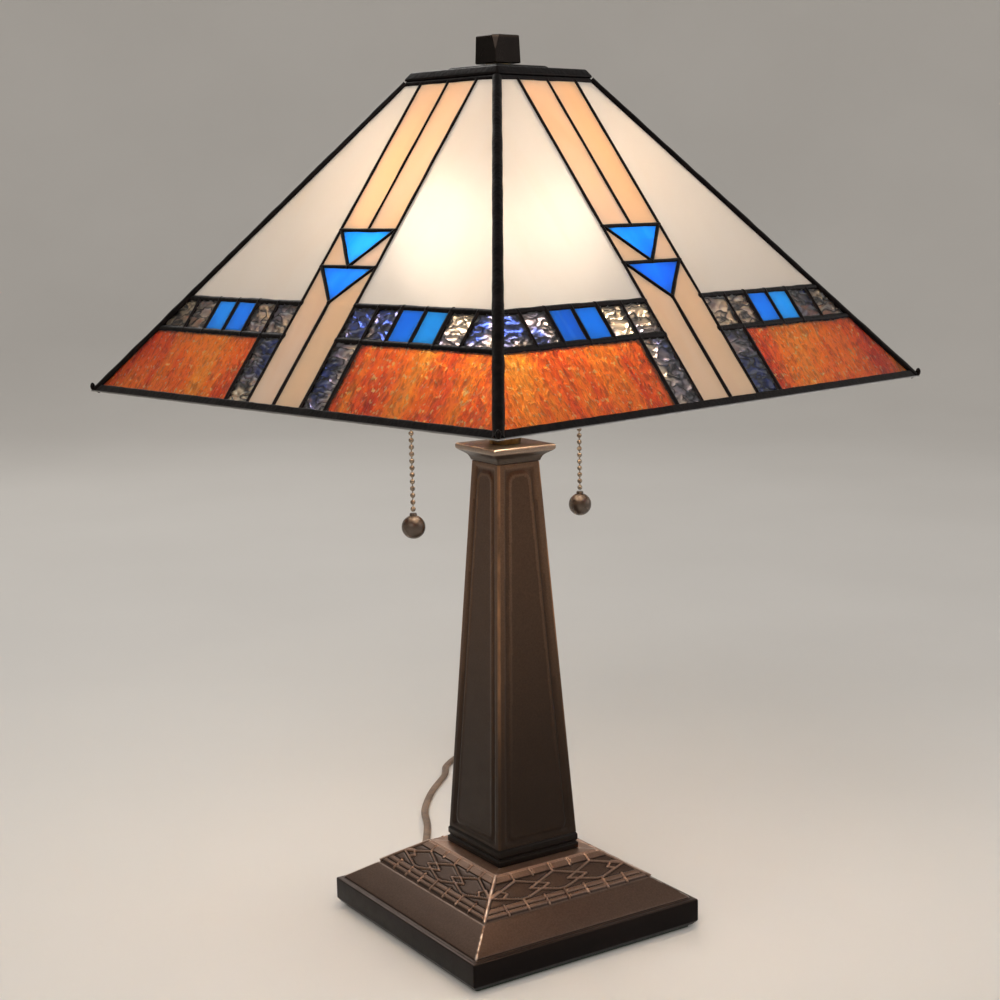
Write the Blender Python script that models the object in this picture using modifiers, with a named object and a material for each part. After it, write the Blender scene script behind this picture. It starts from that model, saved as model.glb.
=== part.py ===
"""Mission table lamp: square leaded-glass shade, two pull-chain sockets, tapered column, stepped base.

Metres, +Z up. The origin is the centre of the underside. The front of the base faces -Y, and the
cord leaves the back of it, towards +Y. The shade rests turned a little on its stem.
"""

import math

import bmesh
import bpy
from mathutils import Matrix, Vector

GAP = 0.0003  # running clearance between neighbouring pieces

# Base, half widths and heights
FELT_HALF = 0.0790
FELT_TOP = 0.0013
PLINTH_HALF = 0.0829
PLINTH_TOP = 0.0186
PLINTH_BOTTOM = FELT_TOP + GAP
SLOPE_FOOT = (0.0789, 0.0198)
SLOPE_HEAD = (0.0630, 0.0306)
PANEL_OUTER = (0.0616, 0.0322)
PANEL_INNER = (0.0386, 0.0468)
BASE_TOP = 0.0475
BASE_WALL = 0.0055
BASE_CEILING = BASE_TOP - BASE_WALL - 0.0015

# Column
FOOT_HALF = 0.0300
FOOT_TOP = 0.0580
COLUMN_FOOT_HALF = 0.0291
COLUMN_NECK_HALF = 0.0150
COLUMN_BOTTOM = FOOT_TOP + GAP
COLUMN_TOP = 0.2928
COLUMN_WALL = 0.0035
CAP_HALF = 0.0224
CAP_TOP = 0.3035

# Threaded pipe, cluster and stem
PIPE_RADIUS = 0.00475
PIPE_BORE = 0.0033
PIPE_BOTTOM = 0.0280
PIPE_CLEARANCE = 0.0004
NUT_HALF = 0.0090
NUT_HEIGHT = 0.0045
WASHER_RADIUS = 0.0130
WASHER_THICK = 0.0015
CLUSTER_BOTTOM = CAP_TOP + GAP
CLUSTER_TOP = 0.3300
SEAT_NUT_TOP = 0.5161
STUD_RADIUS = 0.0030
STUD_TOP = 0.5400
STUD_CLEARANCE = 0.0005

# Shade: square pyramid between two levels
SHADE_TURN = math.radians(10.9)
RIM_HALF = 0.1780
RIM_Z = 0.3395
CROWN_HALF = 0.0389
CROWN_Z = 0.5197
RIM_DEPTH = 0.0045
RIM_WALL = 0.0040
GLASS_THICK = 0.0030
GLASS_SUNK = 0.0010
HIP_RADIUS = 0.0019
HIP_MARGIN = 0.0041
BAND_BOTTOM = 0.0482
BAND_TOP = 0.0708
CROWN_PLATE = (0.0392, 0.5187, 0.5237)
CROWN_CAP = (0.0212, 0.5240, 0.5262)
FINIAL_TURN = math.radians(5.6)
FINIAL_BOTTOM = 0.5278
FINIAL_TOP = 0.5440

# Sockets, bulbs and pull chains
SOCKET_REACH = 0.0340
SOCKET_Z = 0.3260
SOCKET_TILT = math.radians(3)
SHELL_RADIUS = 0.0166
SHELL_WALL = 0.0010
SHELL_SEAM = 0.0180
SHELL_TOP = 0.0570
CORE_RADIUS = 0.0152
CORE_WALL = 0.0013
BULB_SCREW_TOP = 0.0565
BULB_CENTRE = 0.1035
BULB_RADIUS = 0.0300
SPOUT_HEIGHT = 0.0300
CHAIN_X = 0.0613
CHAIN_Y = 0.0080
CHAIN_RADIUS = 0.0016
CHAIN_PIVOT_Z = 0.3375
CHAIN_LEAD = 0.0190
SWING_CLEARANCE = 0.0006  # below the pivot, so that the chain's top edge clears its lead
KNOB_Z = 0.2578
KNOB_RADIUS = 0.00715

# Cord
CORD_RADIUS = 0.0027
CORD_EXIT_Z = 0.0095
BUSHING_TIP_Y = 0.1050
COIL_CENTRE = (0.1990, 0.3044)
COIL_RADIUS = 0.0297
COIL_BUNDLE = 0.0084
COIL_TOP = 0.0095
COIL_FAR = math.radians(56.94)  # direction from the lamp over the coil
PLUG_HALF = (0.0120, 0.0105, 0.0063)

CORD_ROUTE = [
    (0.0000, BUSHING_TIP_Y + GAP, CORD_EXIT_Z),
    (0.0000, 0.1085, CORD_EXIT_Z),
    (0.0010, 0.1150, 0.0078),
    (0.0045, 0.1220, 0.0046),
    (0.0110, 0.1310, 0.0032),
    (0.0202, 0.1420, 0.0030),
    (0.0375, 0.1690, 0.0030),
    (0.0529, 0.1981, 0.0030),
    (0.0782, 0.2299, 0.0030),
    (0.1075, 0.2587, 0.0030),
    (0.1181, 0.2745, 0.0030),
    (0.1326, 0.2871, 0.0030),
    (0.1472, 0.2967, 0.0030),
    (0.1580, 0.3061, 0.0030),
]

LEAD_ROUTE = [
    (0.0000, 0.0725, CORD_EXIT_Z),
    (0.0000, 0.0600, 0.0093),
    (0.0000, 0.0400, 0.0085),
    (0.0000, 0.0210, 0.0085),
    (0.0000, 0.0085, 0.0120),
    (0.0000, 0.0015, 0.0200),
    (0.0000, 0.0000, 0.0290),
    (0.0000, 0.0000, 0.1200),
    (0.0000, 0.0000, 0.2200),
    (0.0000, 0.0000, 0.3120),
]

PALETTE = {
    "felt": ((0.020, 0.045, 0.025), 1.0, 0.0),
    "bronze": ((0.075, 0.050, 0.036), 0.42, 0.85),
    "copper_bronze": ((0.160, 0.085, 0.050), 0.40, 0.85),
    "steel": ((0.45, 0.45, 0.44), 0.35, 1.0),
    "brass": ((0.62, 0.45, 0.18), 0.30, 1.0),
    "insulator": ((0.65, 0.60, 0.50), 0.70, 0.0),
    "bulb_glass": ((0.95, 0.93, 0.88), 0.20, 0.0),
    "lead_came": ((0.045, 0.038, 0.032), 0.45, 0.80),
    "opal_glass": ((0.85, 0.72, 0.50), 0.15, 0.0),
    "blue_glass": ((0.10, 0.28, 0.75), 0.15, 0.0),
    "amber_glass": ((0.70, 0.25, 0.05), 0.15, 0.0),
    "cord": ((0.13, 0.07, 0.035), 0.45, 0.0),
}


def clear_scene():
    for obj in list(bpy.data.objects):
        bpy.data.objects.remove(obj, do_unlink=True)


def collection(name, hidden=False):
    made = bpy.data.collections.new(name)
    bpy.context.scene.collection.children.link(made)
    made.hide_render = hidden
    return made


def material(name):
    found = bpy.data.materials.get(name)
    if found:
        return found
    colour, roughness, metallic = PALETTE[name]
    made = bpy.data.materials.new(name)
    made.use_nodes = True
    shader = made.node_tree.nodes["Principled BSDF"]
    shader.inputs["Base Color"].default_value = (*colour, 1.0)
    shader.inputs["Roughness"].default_value = roughness
    shader.inputs["Metallic"].default_value = metallic
    return made


def empty(name, location=(0, 0, 0), rotation=(0, 0, 0), parent=None):
    made = bpy.data.objects.new(name, None)
    LAMP.objects.link(made)
    made.parent = parent
    made.location = location
    made.rotation_euler = rotation
    made.empty_display_size = 0.01
    return made


def piece(name, data, finish, parent, location=(0, 0, 0), rotation=(0, 0, 0)):
    """A named sub-part, placed in its parent's frame."""
    made = bpy.data.objects.new(name, data)
    LAMP.objects.link(made)
    made.parent = parent
    made.location = location
    made.rotation_euler = rotation
    data.materials.append(material(finish))
    return made


def helper(obj):
    """Turns a piece into a cutter or a union operand, left out of the model."""
    LAMP.objects.unlink(obj)
    CUTTERS.objects.link(obj)
    obj.hide_render = True
    obj.display_type = "WIRE"
    return obj


def boolean(obj, other, operation):
    modifier = obj.modifiers.new(operation.title(), "BOOLEAN")
    modifier.operation = operation
    modifier.object = helper(other)
    modifier.solver = "EXACT"


def bevelled(obj, width, segments=1):
    modifier = obj.modifiers.new("Bevel", "BEVEL")
    modifier.width = width
    modifier.segments = segments
    modifier.limit_method = "ANGLE"


def turned(name, profile, finish, parent, steps=24, closed=False, **place):
    """A profile of (radius, z), outer side top to bottom, turned about the local Z axis."""
    mesh = bpy.data.meshes.new(name)
    points = [(radius, 0.0, z) for radius, z in profile]
    edges = [(i, i + 1) for i in range(len(points) - 1)]
    if closed:
        edges.append((len(points) - 1, 0))
    mesh.from_pydata(points, edges, [])
    made = piece(name, mesh, finish, parent, **place)
    screw = made.modifiers.new("Screw", "SCREW")
    screw.steps = steps
    screw.render_steps = steps
    screw.use_merge_vertices = True
    screw.merge_threshold = 0.00005
    screw.use_smooth_shade = steps > 8
    return made


def squared(name, profile, finish, parent, closed=False, turn=0.0):
    """A profile of (half width, z) swept round a square, with its sides along X and Y."""
    corners = [(half * math.sqrt(2), z) for half, z in profile]
    rotation = (0, 0, math.pi / 4 + turn)
    return turned(name, corners, finish, parent, steps=4, closed=closed, rotation=rotation)


def cylinder(name, radius, z_low, z_high, finish, parent, sides=16, **place):
    shape = bmesh.new()
    lift = Matrix.Translation((0, 0, (z_low + z_high) / 2))
    bmesh.ops.create_cone(
        shape, cap_ends=True, segments=sides, radius1=radius, radius2=radius,
        depth=z_high - z_low, matrix=lift,
    )
    mesh = bpy.data.meshes.new(name)
    shape.to_mesh(mesh)
    shape.free()
    return piece(name, mesh, finish, parent, **place)


def block(name, size, centre, finish, parent, **place):
    shape = bmesh.new()
    bmesh.ops.create_cube(shape, size=1.0)
    bmesh.ops.scale(shape, vec=size, verts=shape.verts)
    bmesh.ops.translate(shape, vec=centre, verts=shape.verts)
    mesh = bpy.data.meshes.new(name)
    shape.to_mesh(mesh)
    shape.free()
    return piece(name, mesh, finish, parent, **place)


def smooth_route(route, spacing):
    """Points about a spacing apart on the Catmull-Rom curve through the route's points."""
    points = [Vector(p) for p in route]
    ends = [2 * points[0] - points[1]] + points + [2 * points[-1] - points[-2]]
    curve = []
    for before, start, end, after in zip(ends, ends[1:], ends[2:], ends[3:]):
        count = max(1, round((end - start).length / spacing))
        for step in range(count):
            t = step / count
            curve.append(
                0.5 * (
                    2 * start
                    + (end - before) * t
                    + (2 * before - 5 * start + 4 * end - after) * t**2
                    + (3 * start - before - 3 * end + after) * t**3
                )
            )
    return curve + [points[-1]]


def tube(name, points, radius, finish, parent, resolution=2, **place):
    curve = bpy.data.curves.new(name, "CURVE")
    curve.dimensions = "3D"
    curve.bevel_depth = radius
    curve.bevel_resolution = resolution
    curve.use_fill_caps = True
    spline = curve.splines.new("POLY")
    spline.points.add(len(points) - 1)
    for target, point in zip(spline.points, points):
        target.co = (*point, 1.0)
    return piece(name, curve, finish, parent, **place)


def plate(name, outline, thickness, finish, parent):
    """A flat outline in the local XY plane, with its thickness centred on that plane."""
    curve = bpy.data.curves.new(name, "CURVE")
    curve.dimensions = "2D"
    curve.fill_mode = "BOTH"
    curve.extrude = thickness / 2
    spline = curve.splines.new("POLY")
    spline.points.add(len(outline) - 1)
    for target, (x, y) in zip(spline.points, outline):
        target.co = (x, y, 0.0, 1.0)
    spline.use_cyclic_u = True
    return piece(name, curve, finish, parent)


def make_base(lamp):
    block("felt_pad", (2 * FELT_HALF, 2 * FELT_HALF, FELT_TOP), (0, 0, FELT_TOP / 2), "felt", lamp)
    hole = PIPE_RADIUS + 0.0008
    chamfer = 0.0026
    outer = [
        (hole, BASE_TOP),
        (PANEL_INNER[0] - 0.0008, BASE_TOP),
        PANEL_INNER,
        PANEL_OUTER,
        SLOPE_HEAD,
        SLOPE_FOOT,
        (SLOPE_FOOT[0] + 0.0010, PLINTH_TOP + 0.0003),
        (PLINTH_HALF - 0.0006, PLINTH_TOP),
        (PLINTH_HALF, PLINTH_TOP - 0.0006),
        (PLINTH_HALF, PLINTH_BOTTOM + chamfer),
        (PLINTH_HALF - chamfer, PLINTH_BOTTOM),
    ]
    inner = [
        (PLINTH_HALF - 2 * BASE_WALL, PLINTH_BOTTOM),
        (PLINTH_HALF - 2 * BASE_WALL, PLINTH_TOP - BASE_WALL),
        (PANEL_INNER[0] - BASE_WALL, BASE_CEILING),
        (hole, BASE_CEILING),
    ]
    casting = squared("base_casting", outer + inner, "copper_bronze", lamp, closed=True)
    cutter = cylinder("cord_hole", 0.0042, 0.060, 0.100, "bronze", lamp, rotation=(-math.pi / 2, 0, 0),
                      location=(0, 0, CORD_EXIT_Z))
    boolean(casting, cutter, "DIFFERENCE")


def make_column(lamp):
    foot = [
        (COLUMN_FOOT_HALF - COLUMN_WALL, FOOT_TOP),
        (COLUMN_FOOT_HALF - 0.0003, FOOT_TOP),
        (FOOT_HALF - 0.0004, FOOT_TOP - 0.0010),
        (FOOT_HALF - 0.0002, FOOT_TOP - 0.0050),
        (FOOT_HALF - 0.0010, FOOT_TOP - 0.0055),
        (FOOT_HALF - 0.0010, FOOT_TOP - 0.0061),
        (FOOT_HALF, FOOT_TOP - 0.0066),
        (FOOT_HALF, BASE_TOP + GAP),
        (COLUMN_FOOT_HALF - COLUMN_WALL, BASE_TOP + GAP),
    ]
    squared("column_foot", foot, "bronze", lamp, closed=True)
    make_shaft(lamp)
    bore = PIPE_RADIUS + PIPE_CLEARANCE
    cap = [
        (bore, CAP_TOP),
        (CAP_HALF - 0.0006, CAP_TOP),
        (CAP_HALF, CAP_TOP - 0.0006),
        (CAP_HALF, CAP_TOP - 0.0036),
        (CAP_HALF - 0.0008, CAP_TOP - 0.0043),
        (COLUMN_NECK_HALF + 0.0030, CAP_TOP - 0.0062),
        (COLUMN_NECK_HALF + 0.0012, CAP_TOP - 0.0084),
        (COLUMN_NECK_HALF + 0.0004, COLUMN_TOP + GAP),
        (bore, COLUMN_TOP + GAP),
    ]
    squared("column_cap", cap, "bronze", lamp, closed=True)


def make_shaft(lamp):
    """Tapered hollow shaft with a sunk panel and a raised inner field on each side."""
    height = COLUMN_TOP - COLUMN_BOTTOM
    lift = Matrix.Translation((0, 0, COLUMN_BOTTOM + height / 2)) @ Matrix.Rotation(math.pi / 4, 4, "Z")
    shape = bmesh.new()
    bmesh.ops.create_cone(
        shape, cap_ends=True, segments=4, radius1=COLUMN_FOOT_HALF * math.sqrt(2),
        radius2=COLUMN_NECK_HALF * math.sqrt(2), depth=height, matrix=lift,
    )
    sides = [face for face in shape.faces if abs(face.normal.z) < 0.5]
    bmesh.ops.inset_individual(shape, faces=sides, thickness=0.0030, depth=-0.0009)
    bmesh.ops.inset_individual(shape, faces=sides, thickness=0.0022, depth=0.0006)
    mesh = bpy.data.meshes.new("column_shaft")
    shape.to_mesh(mesh)
    shape.free()
    shaft = piece("column_shaft", mesh, "bronze", lamp)
    bore_foot = COLUMN_FOOT_HALF - COLUMN_WALL
    bore_neck = COLUMN_NECK_HALF - COLUMN_WALL
    bore = squared("shaft_bore", [(0, COLUMN_TOP + 0.001), (bore_neck, COLUMN_TOP + 0.001),
                                  (bore_foot, COLUMN_BOTTOM - 0.001), (0, COLUMN_BOTTOM - 0.001)],
                   "bronze", lamp)
    boolean(shaft, bore, "DIFFERENCE")


def hex_nut(name, top, lamp):
    """Hex nut on the pipe's thread, hanging down from a height."""
    flat = (PIPE_RADIUS + PIPE_CLEARANCE) / math.cos(math.pi / 6)
    nut = [(flat, top), (NUT_HALF, top), (NUT_HALF, top - NUT_HEIGHT), (flat, top - NUT_HEIGHT)]
    turned(name, nut, "brass", lamp, steps=6, closed=True)


def make_pipe(lamp):
    """Threaded pipe from under the base to the cluster, with its washer and hex nut."""
    pipe_top = CLUSTER_BOTTOM + 0.0120
    turned("lamp_pipe", [(PIPE_BORE, pipe_top), (PIPE_RADIUS, pipe_top), (PIPE_RADIUS, PIPE_BOTTOM),
                         (PIPE_BORE, PIPE_BOTTOM)], "steel", lamp, steps=16, closed=True)
    bore = PIPE_RADIUS + PIPE_CLEARANCE
    washer_top = BASE_CEILING - GAP
    washer_bottom = washer_top - WASHER_THICK
    washer = [
        (bore, washer_top),
        (WASHER_RADIUS, washer_top),
        (WASHER_RADIUS, washer_bottom),
        (bore, washer_bottom),
    ]
    turned("pipe_washer", washer, "steel", lamp, closed=True)
    hex_nut("pipe_nut", washer_bottom - GAP, lamp)
    tube("supply_lead", smooth_route(LEAD_ROUTE, 0.0130), CORD_RADIUS, "cord", lamp)


def make_cluster(lamp):
    """Two-light cluster body on the pipe, its two arms, and the stem that carries the shade."""
    bore = PIPE_RADIUS + PIPE_CLEARANCE
    neck = CLUSTER_BOTTOM + 0.0125
    body = [
        (0, CLUSTER_TOP),
        (0.0080, CLUSTER_TOP),
        (0.0098, CLUSTER_TOP - 0.0020),
        (0.0098, CLUSTER_TOP - 0.0060),
        (0.0140, CLUSTER_TOP - 0.0095),
        (0.0140, CLUSTER_TOP - 0.0185),
        (0.0105, CLUSTER_TOP - 0.0215),
        (0.0095, CLUSTER_BOTTOM),
        (bore, CLUSTER_BOTTOM),
        (bore, neck),
        (0, neck),
    ]
    turned("cluster_body", body, "brass", lamp)
    arm_z = CLUSTER_TOP - 0.0140
    socket = Vector((SOCKET_REACH, 0, SOCKET_Z))
    axis = Vector((math.sin(SOCKET_TILT), 0, math.cos(SOCKET_TILT)))
    for name, side in (("left", -1), ("right", 1)):
        route = [
            Vector((0.0144, 0, arm_z)),
            Vector((0.0200, 0, arm_z - 0.0004)),
            Vector((0.0265, 0, arm_z - 0.0002)),
            socket - axis * 0.0055,
            socket - axis * GAP,
        ]
        points = [(side * p.x, p.y, p.z) for p in smooth_route(route, 0.0035)]
        tube(f"{name}_arm", points, 0.0042, "brass", lamp)
    stem = [
        (0, STUD_TOP),
        (STUD_RADIUS - 0.0006, STUD_TOP),
        (STUD_RADIUS, STUD_TOP - 0.0006),
        (STUD_RADIUS, SEAT_NUT_TOP),
        (PIPE_RADIUS, SEAT_NUT_TOP),
        (PIPE_RADIUS, CLUSTER_TOP + GAP),
        (0, CLUSTER_TOP + GAP),
    ]
    turned("shade_stem", stem, "steel", lamp, steps=16)
    hex_nut("seat_nut", SEAT_NUT_TOP, lamp)


def make_socket(name, side, lamp):
    """Pull-chain socket: cap, shell, insulated core and the chain's spout."""
    tilt = empty(f"{name}_socket_axis", (side * SOCKET_REACH, 0, SOCKET_Z), (0, side * SOCKET_TILT, 0), lamp)
    bore = SHELL_RADIUS - SHELL_WALL
    cap = [
        (SHELL_RADIUS, SHELL_SEAM), (SHELL_RADIUS, 0.0100), (0.0150, 0.0052), (0.0095, 0.0014), (0.0075, 0.0),
        (0, 0), (0, 0.0022), (0.0088, 0.0030), (0.0138, 0.0062), (bore, 0.0106), (bore, SHELL_SEAM),
    ]
    turned(f"{name}_socket_cap", cap + [cap[0]], "brass", tilt)
    bead = SHELL_RADIUS + 0.0007
    shell = [
        (bore, SHELL_TOP), (bead, SHELL_TOP), (bead, SHELL_TOP - 0.0020), (SHELL_RADIUS, SHELL_TOP - 0.0028),
        (SHELL_RADIUS, SHELL_SEAM + GAP), (bore, SHELL_SEAM + GAP),
    ]
    turned(f"{name}_socket_shell", shell, "brass", tilt, closed=True)
    core_bore = CORE_RADIUS - CORE_WALL
    core_top = SHELL_TOP - 0.0010
    core_foot = SHELL_SEAM + 0.0010
    core_floor = core_foot + 0.0080
    core = [
        (core_bore, core_top), (CORE_RADIUS, core_top), (CORE_RADIUS, core_foot), (0, core_foot),
        (0, core_floor), (core_bore, core_floor),
    ]
    turned(f"{name}_socket_core", core + [core[0]], "insulator", tilt)
    return tilt


def make_spout(name, side, lamp):
    """Bell that the chain drops through, on a neck from the socket's shell."""
    lip_z = CHAIN_PIVOT_Z + 0.0025
    bore = CHAIN_RADIUS + 0.0007
    bell = [
        (0, 0.0210), (0.0032, 0.0205), (0.0044, 0.0180), (0.0044, 0.0050), (0.0060, 0.0010), (0.0060, 0.0),
        (bore + 0.0012, 0.0), (bore, 0.0030), (bore, 0.0180), (0, 0.0180),
    ]
    spout = turned(f"{name}_chain_spout", bell, "brass", lamp, steps=16,
                   location=(side * CHAIN_X, CHAIN_Y, lip_z))
    shell_x = side * (SOCKET_REACH + SPOUT_HEIGHT * math.sin(SOCKET_TILT))
    shell_z = SOCKET_Z + SPOUT_HEIGHT * math.cos(SOCKET_TILT)
    reach = Vector((side * CHAIN_X - shell_x, CHAIN_Y, 0))
    heading = reach.normalized()
    start = Vector((shell_x, 0, shell_z)) + heading * (SHELL_RADIUS + 0.0012)
    end = Vector((side * CHAIN_X, CHAIN_Y, shell_z)) - heading * 0.0033
    neck = cylinder(
        f"{name}_spout_neck", 0.0034, 0, (end - start).length, "brass", lamp, sides=12,
        location=start, rotation=heading.to_track_quat("Z", "Y").to_euler(),
    )
    boolean(spout, neck, "UNION")


def make_bulb(name, tilt):
    axis = empty(f"{name}_bulb_axis", parent=tilt)
    screw = [
        (0, BULB_SCREW_TOP), (0.0128, BULB_SCREW_TOP), (0.0130, 0.0550), (0.0130, 0.0340), (0.0105, 0.0305),
        (0.0050, 0.0290), (0, 0.0285),
    ]
    turned(f"{name}_bulb_base", screw, "steel", axis, steps=20)
    neck = BULB_SCREW_TOP + GAP
    flare = math.radians(-38)
    crown = [math.radians(90) - i * (math.radians(90) - flare) / 10 for i in range(11)]
    glass = [(BULB_RADIUS * math.cos(a), BULB_CENTRE + BULB_RADIUS * math.sin(a)) for a in crown]
    glass[0] = (0, BULB_CENTRE + BULB_RADIUS)
    glass += [(0.0190, 0.0760), (0.0152, 0.0680), (0.0136, 0.0610), (0.0128, neck), (0, neck)]
    turned(f"{name}_bulb_glass", glass, "bulb_glass", axis, steps=20)


def make_chain(name, side, lamp):
    """Chain end inside the spout, the hanging chain, and its ball."""
    x = side * CHAIN_X
    pull = empty(f"{name}_pull_axis", (x, CHAIN_Y, CHAIN_PIVOT_Z), parent=lamp)
    cylinder(f"{name}_chain_lead", CHAIN_RADIUS, 0, CHAIN_LEAD, "brass", pull, sides=8)
    swing = empty(f"{name}_swing_axis", parent=pull)
    knob_z = KNOB_Z - CHAIN_PIVOT_Z
    knob_top = knob_z + KNOB_RADIUS + 0.0012
    cylinder(f"{name}_pull_chain", CHAIN_RADIUS, knob_top + GAP, -SWING_CLEARANCE, "bronze", swing, sides=8)
    arc = [math.radians(72 - i * 162 / 12) for i in range(13)]
    knob = [(0, knob_top), (0.0022, knob_top)]
    knob += [(KNOB_RADIUS * math.cos(a), knob_z + KNOB_RADIUS * math.sin(a)) for a in arc[:-1]]
    knob += [(0, knob_z - KNOB_RADIUS)]
    turned(f"{name}_chain_knob", knob, "bronze", swing, steps=16)


def face_frame(index):
    """Frame of one side of the shade: X along the rim, Y up the slope, Z outwards."""
    around = Matrix.Rotation(index * math.pi / 2, 4, "Z")
    slope = Vector((0, RIM_HALF - CROWN_HALF, CROWN_Z - RIM_Z)).normalized()
    along = Vector((1, 0, 0))
    outward = along.cross(slope)
    frame = Matrix((along, slope, outward)).transposed().to_4x4()
    frame.translation = Vector((0, -RIM_HALF, RIM_Z)) - outward * (GLASS_SUNK + GLASS_THICK / 2)
    return around @ frame


def half_width(height):
    """Half the width of a side at a height up its slope."""
    slant = math.hypot(RIM_HALF - CROWN_HALF, CROWN_Z - RIM_Z)
    return RIM_HALF - height * (RIM_HALF - CROWN_HALF) / slant


def make_glass(shade):
    """Each side's glass in three sheets: upper panels, narrow border band and lower panels."""
    slant = math.hypot(RIM_HALF - CROWN_HALF, CROWN_Z - RIM_Z)
    bands = (
        ("lower_glass", RIM_DEPTH + 0.0005, BAND_BOTTOM - GAP, "amber_glass"),
        ("border_glass", BAND_BOTTOM, BAND_TOP, "blue_glass"),
        ("upper_glass", BAND_TOP + GAP, slant - 0.0021, "opal_glass"),
    )
    for index, face in enumerate(("front", "right", "rear", "left")):
        for name, low, high, finish in bands:
            wide = half_width(low) - HIP_MARGIN
            narrow = half_width(high) - HIP_MARGIN
            outline = [(-wide, low), (wide, low), (narrow, high), (-narrow, high)]
            sheet = plate(f"{name}_{face}", outline, GLASS_THICK, finish, shade)
            sheet.matrix_local = face_frame(index)


def make_frame(shade):
    """Hip bars along the four corners and the square rim bar."""
    rise = CROWN_Z - RIM_Z
    run = RIM_HALF - CROWN_HALF
    slant = math.hypot(run, rise)
    up = (-run / slant, rise / slant)
    inward = (-rise / slant, -run / slant)
    outer_low = (RIM_HALF, RIM_Z)
    outer_high = (RIM_HALF + up[0] * RIM_DEPTH, RIM_Z + up[1] * RIM_DEPTH)
    inner_high = (outer_high[0] + inward[0] * RIM_WALL, outer_high[1] + inward[1] * RIM_WALL)
    inner_low = (inner_high[0] + 0.0010, RIM_Z)
    squared("rim_came", [outer_high, outer_low, inner_low, inner_high], "lead_came", shade, closed=True)
    foot = Vector((RIM_HALF, RIM_HALF, RIM_Z))
    head = Vector((CROWN_HALF, CROWN_HALF, CROWN_Z))
    along = (head - foot).normalized()
    normal = Vector((rise, 0, run)).normalized() + Vector((0, rise, run)).normalized()
    half_angle = math.acos(normal.length / 2)
    depth = HIP_RADIUS / math.cos(half_angle)
    inset = -normal.normalized() * depth
    for index, corner in enumerate(("rear_right", "rear_left", "front_left", "front_right")):
        around = Matrix.Rotation(index * math.pi / 2, 3, "Z")
        start = foot + along * 0.0085 + inset
        end = head - along * 0.0032 + inset
        tube(f"hip_came_{corner}", [around @ start, around @ end], HIP_RADIUS, "lead_came", shade)


def make_crown(seat, shade):
    """Swivel seat on the stem's nut, and the stepped square crown plates."""
    bore = STUD_RADIUS + STUD_CLEARANCE
    shoulder = SEAT_NUT_TOP + GAP
    turned("shade_seat", [(bore, CROWN_PLATE[1] - GAP), (0.0160, CROWN_PLATE[1] - GAP),
                          (0.0160, shoulder + 0.0004),
                          (0.0150, shoulder), (bore, shoulder)], "brass", seat, closed=True)
    for name, (half, low, high), bevel in (
        ("crown_plate", CROWN_PLATE, 0.0012),
        ("crown_cap", CROWN_CAP, 0.0008),
    ):
        square = block(name, (2 * half, 2 * half, high - low), (0, 0, (low + high) / 2), "lead_came", shade)
        bevelled(square, bevel, 2)
        drill = cylinder(f"{name}_bore", bore, low - 0.002, high + 0.002, "lead_came", shade)
        boolean(square, drill, "DIFFERENCE")


def make_finial(washer_axis, finial_axis):
    """Square block with its corners cut away towards the top, screwed on the stem's stud."""
    bore = STUD_RADIUS + 0.0004
    low = CROWN_CAP[2] + GAP
    high = FINIAL_BOTTOM - GAP
    turned("finial_washer", [(bore, high), (0.0078, high), (0.0078, low), (bore, low)], "brass", washer_axis,
           steps=16, closed=True)
    half_low = 0.0096
    half_high = 0.0093
    block_profile = [(0, FINIAL_TOP), (half_high - 0.0005, FINIAL_TOP), (half_high, FINIAL_TOP - 0.0005),
                     (half_low, FINIAL_BOTTOM), (0, FINIAL_BOTTOM)]
    finial = squared("finial", block_profile, "bronze", finial_axis, turn=FINIAL_TURN)
    facet_high = 0.0094
    facet_low = facet_high + 0.0044 * (FINIAL_TOP - FINIAL_BOTTOM) / 0.0096
    facets = squared("finial_facets", [(0, FINIAL_TOP + 0.001), (facet_high, FINIAL_TOP + 0.001),
                                       (facet_low, FINIAL_BOTTOM - 0.001), (0, FINIAL_BOTTOM - 0.001)],
                     "bronze", finial_axis, turn=FINIAL_TURN + math.pi / 4)
    boolean(finial, facets, "INTERSECT")
    drill = cylinder("finial_bore", bore, FINIAL_BOTTOM - 0.002, STUD_TOP + 0.0005, "bronze", finial_axis)
    boolean(finial, drill, "DIFFERENCE")


def make_cord(lamp):
    """Bushing in the back wall, free cord, coil of its unused length, and the plug on the coil."""
    wall = PLINTH_HALF
    bushing = [
        (0, BUSHING_TIP_Y), (0.0033, BUSHING_TIP_Y), (0.0040, BUSHING_TIP_Y - 0.0100),
        (0.0048, wall + 0.0040),
        (0.0068, wall + 0.0036), (0.0068, wall + GAP), (0.0038, wall + GAP), (0.0038, 0.0732), (0, 0.0732),
    ]
    turned("cord_bushing", bushing, "cord", lamp, steps=16, rotation=(-math.pi / 2, 0, 0),
           location=(0, 0, CORD_EXIT_Z))
    tube("cord", smooth_route(CORD_ROUTE, 0.0125), CORD_RADIUS, "cord", lamp)
    inner = COIL_RADIUS - COIL_BUNDLE
    outer = COIL_RADIUS + COIL_BUNDLE
    coil = [(inner + 0.002, COIL_TOP), (outer - 0.002, COIL_TOP), (outer, COIL_TOP - 0.002), (outer, 0.0023),
            (outer - 0.002, GAP), (inner + 0.002, GAP), (inner, 0.0023), (inner, COIL_TOP - 0.002)]
    turned("cord_coil", coil, "cord", lamp, closed=True, location=(*COIL_CENTRE, 0))
    make_plug(lamp)


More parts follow.
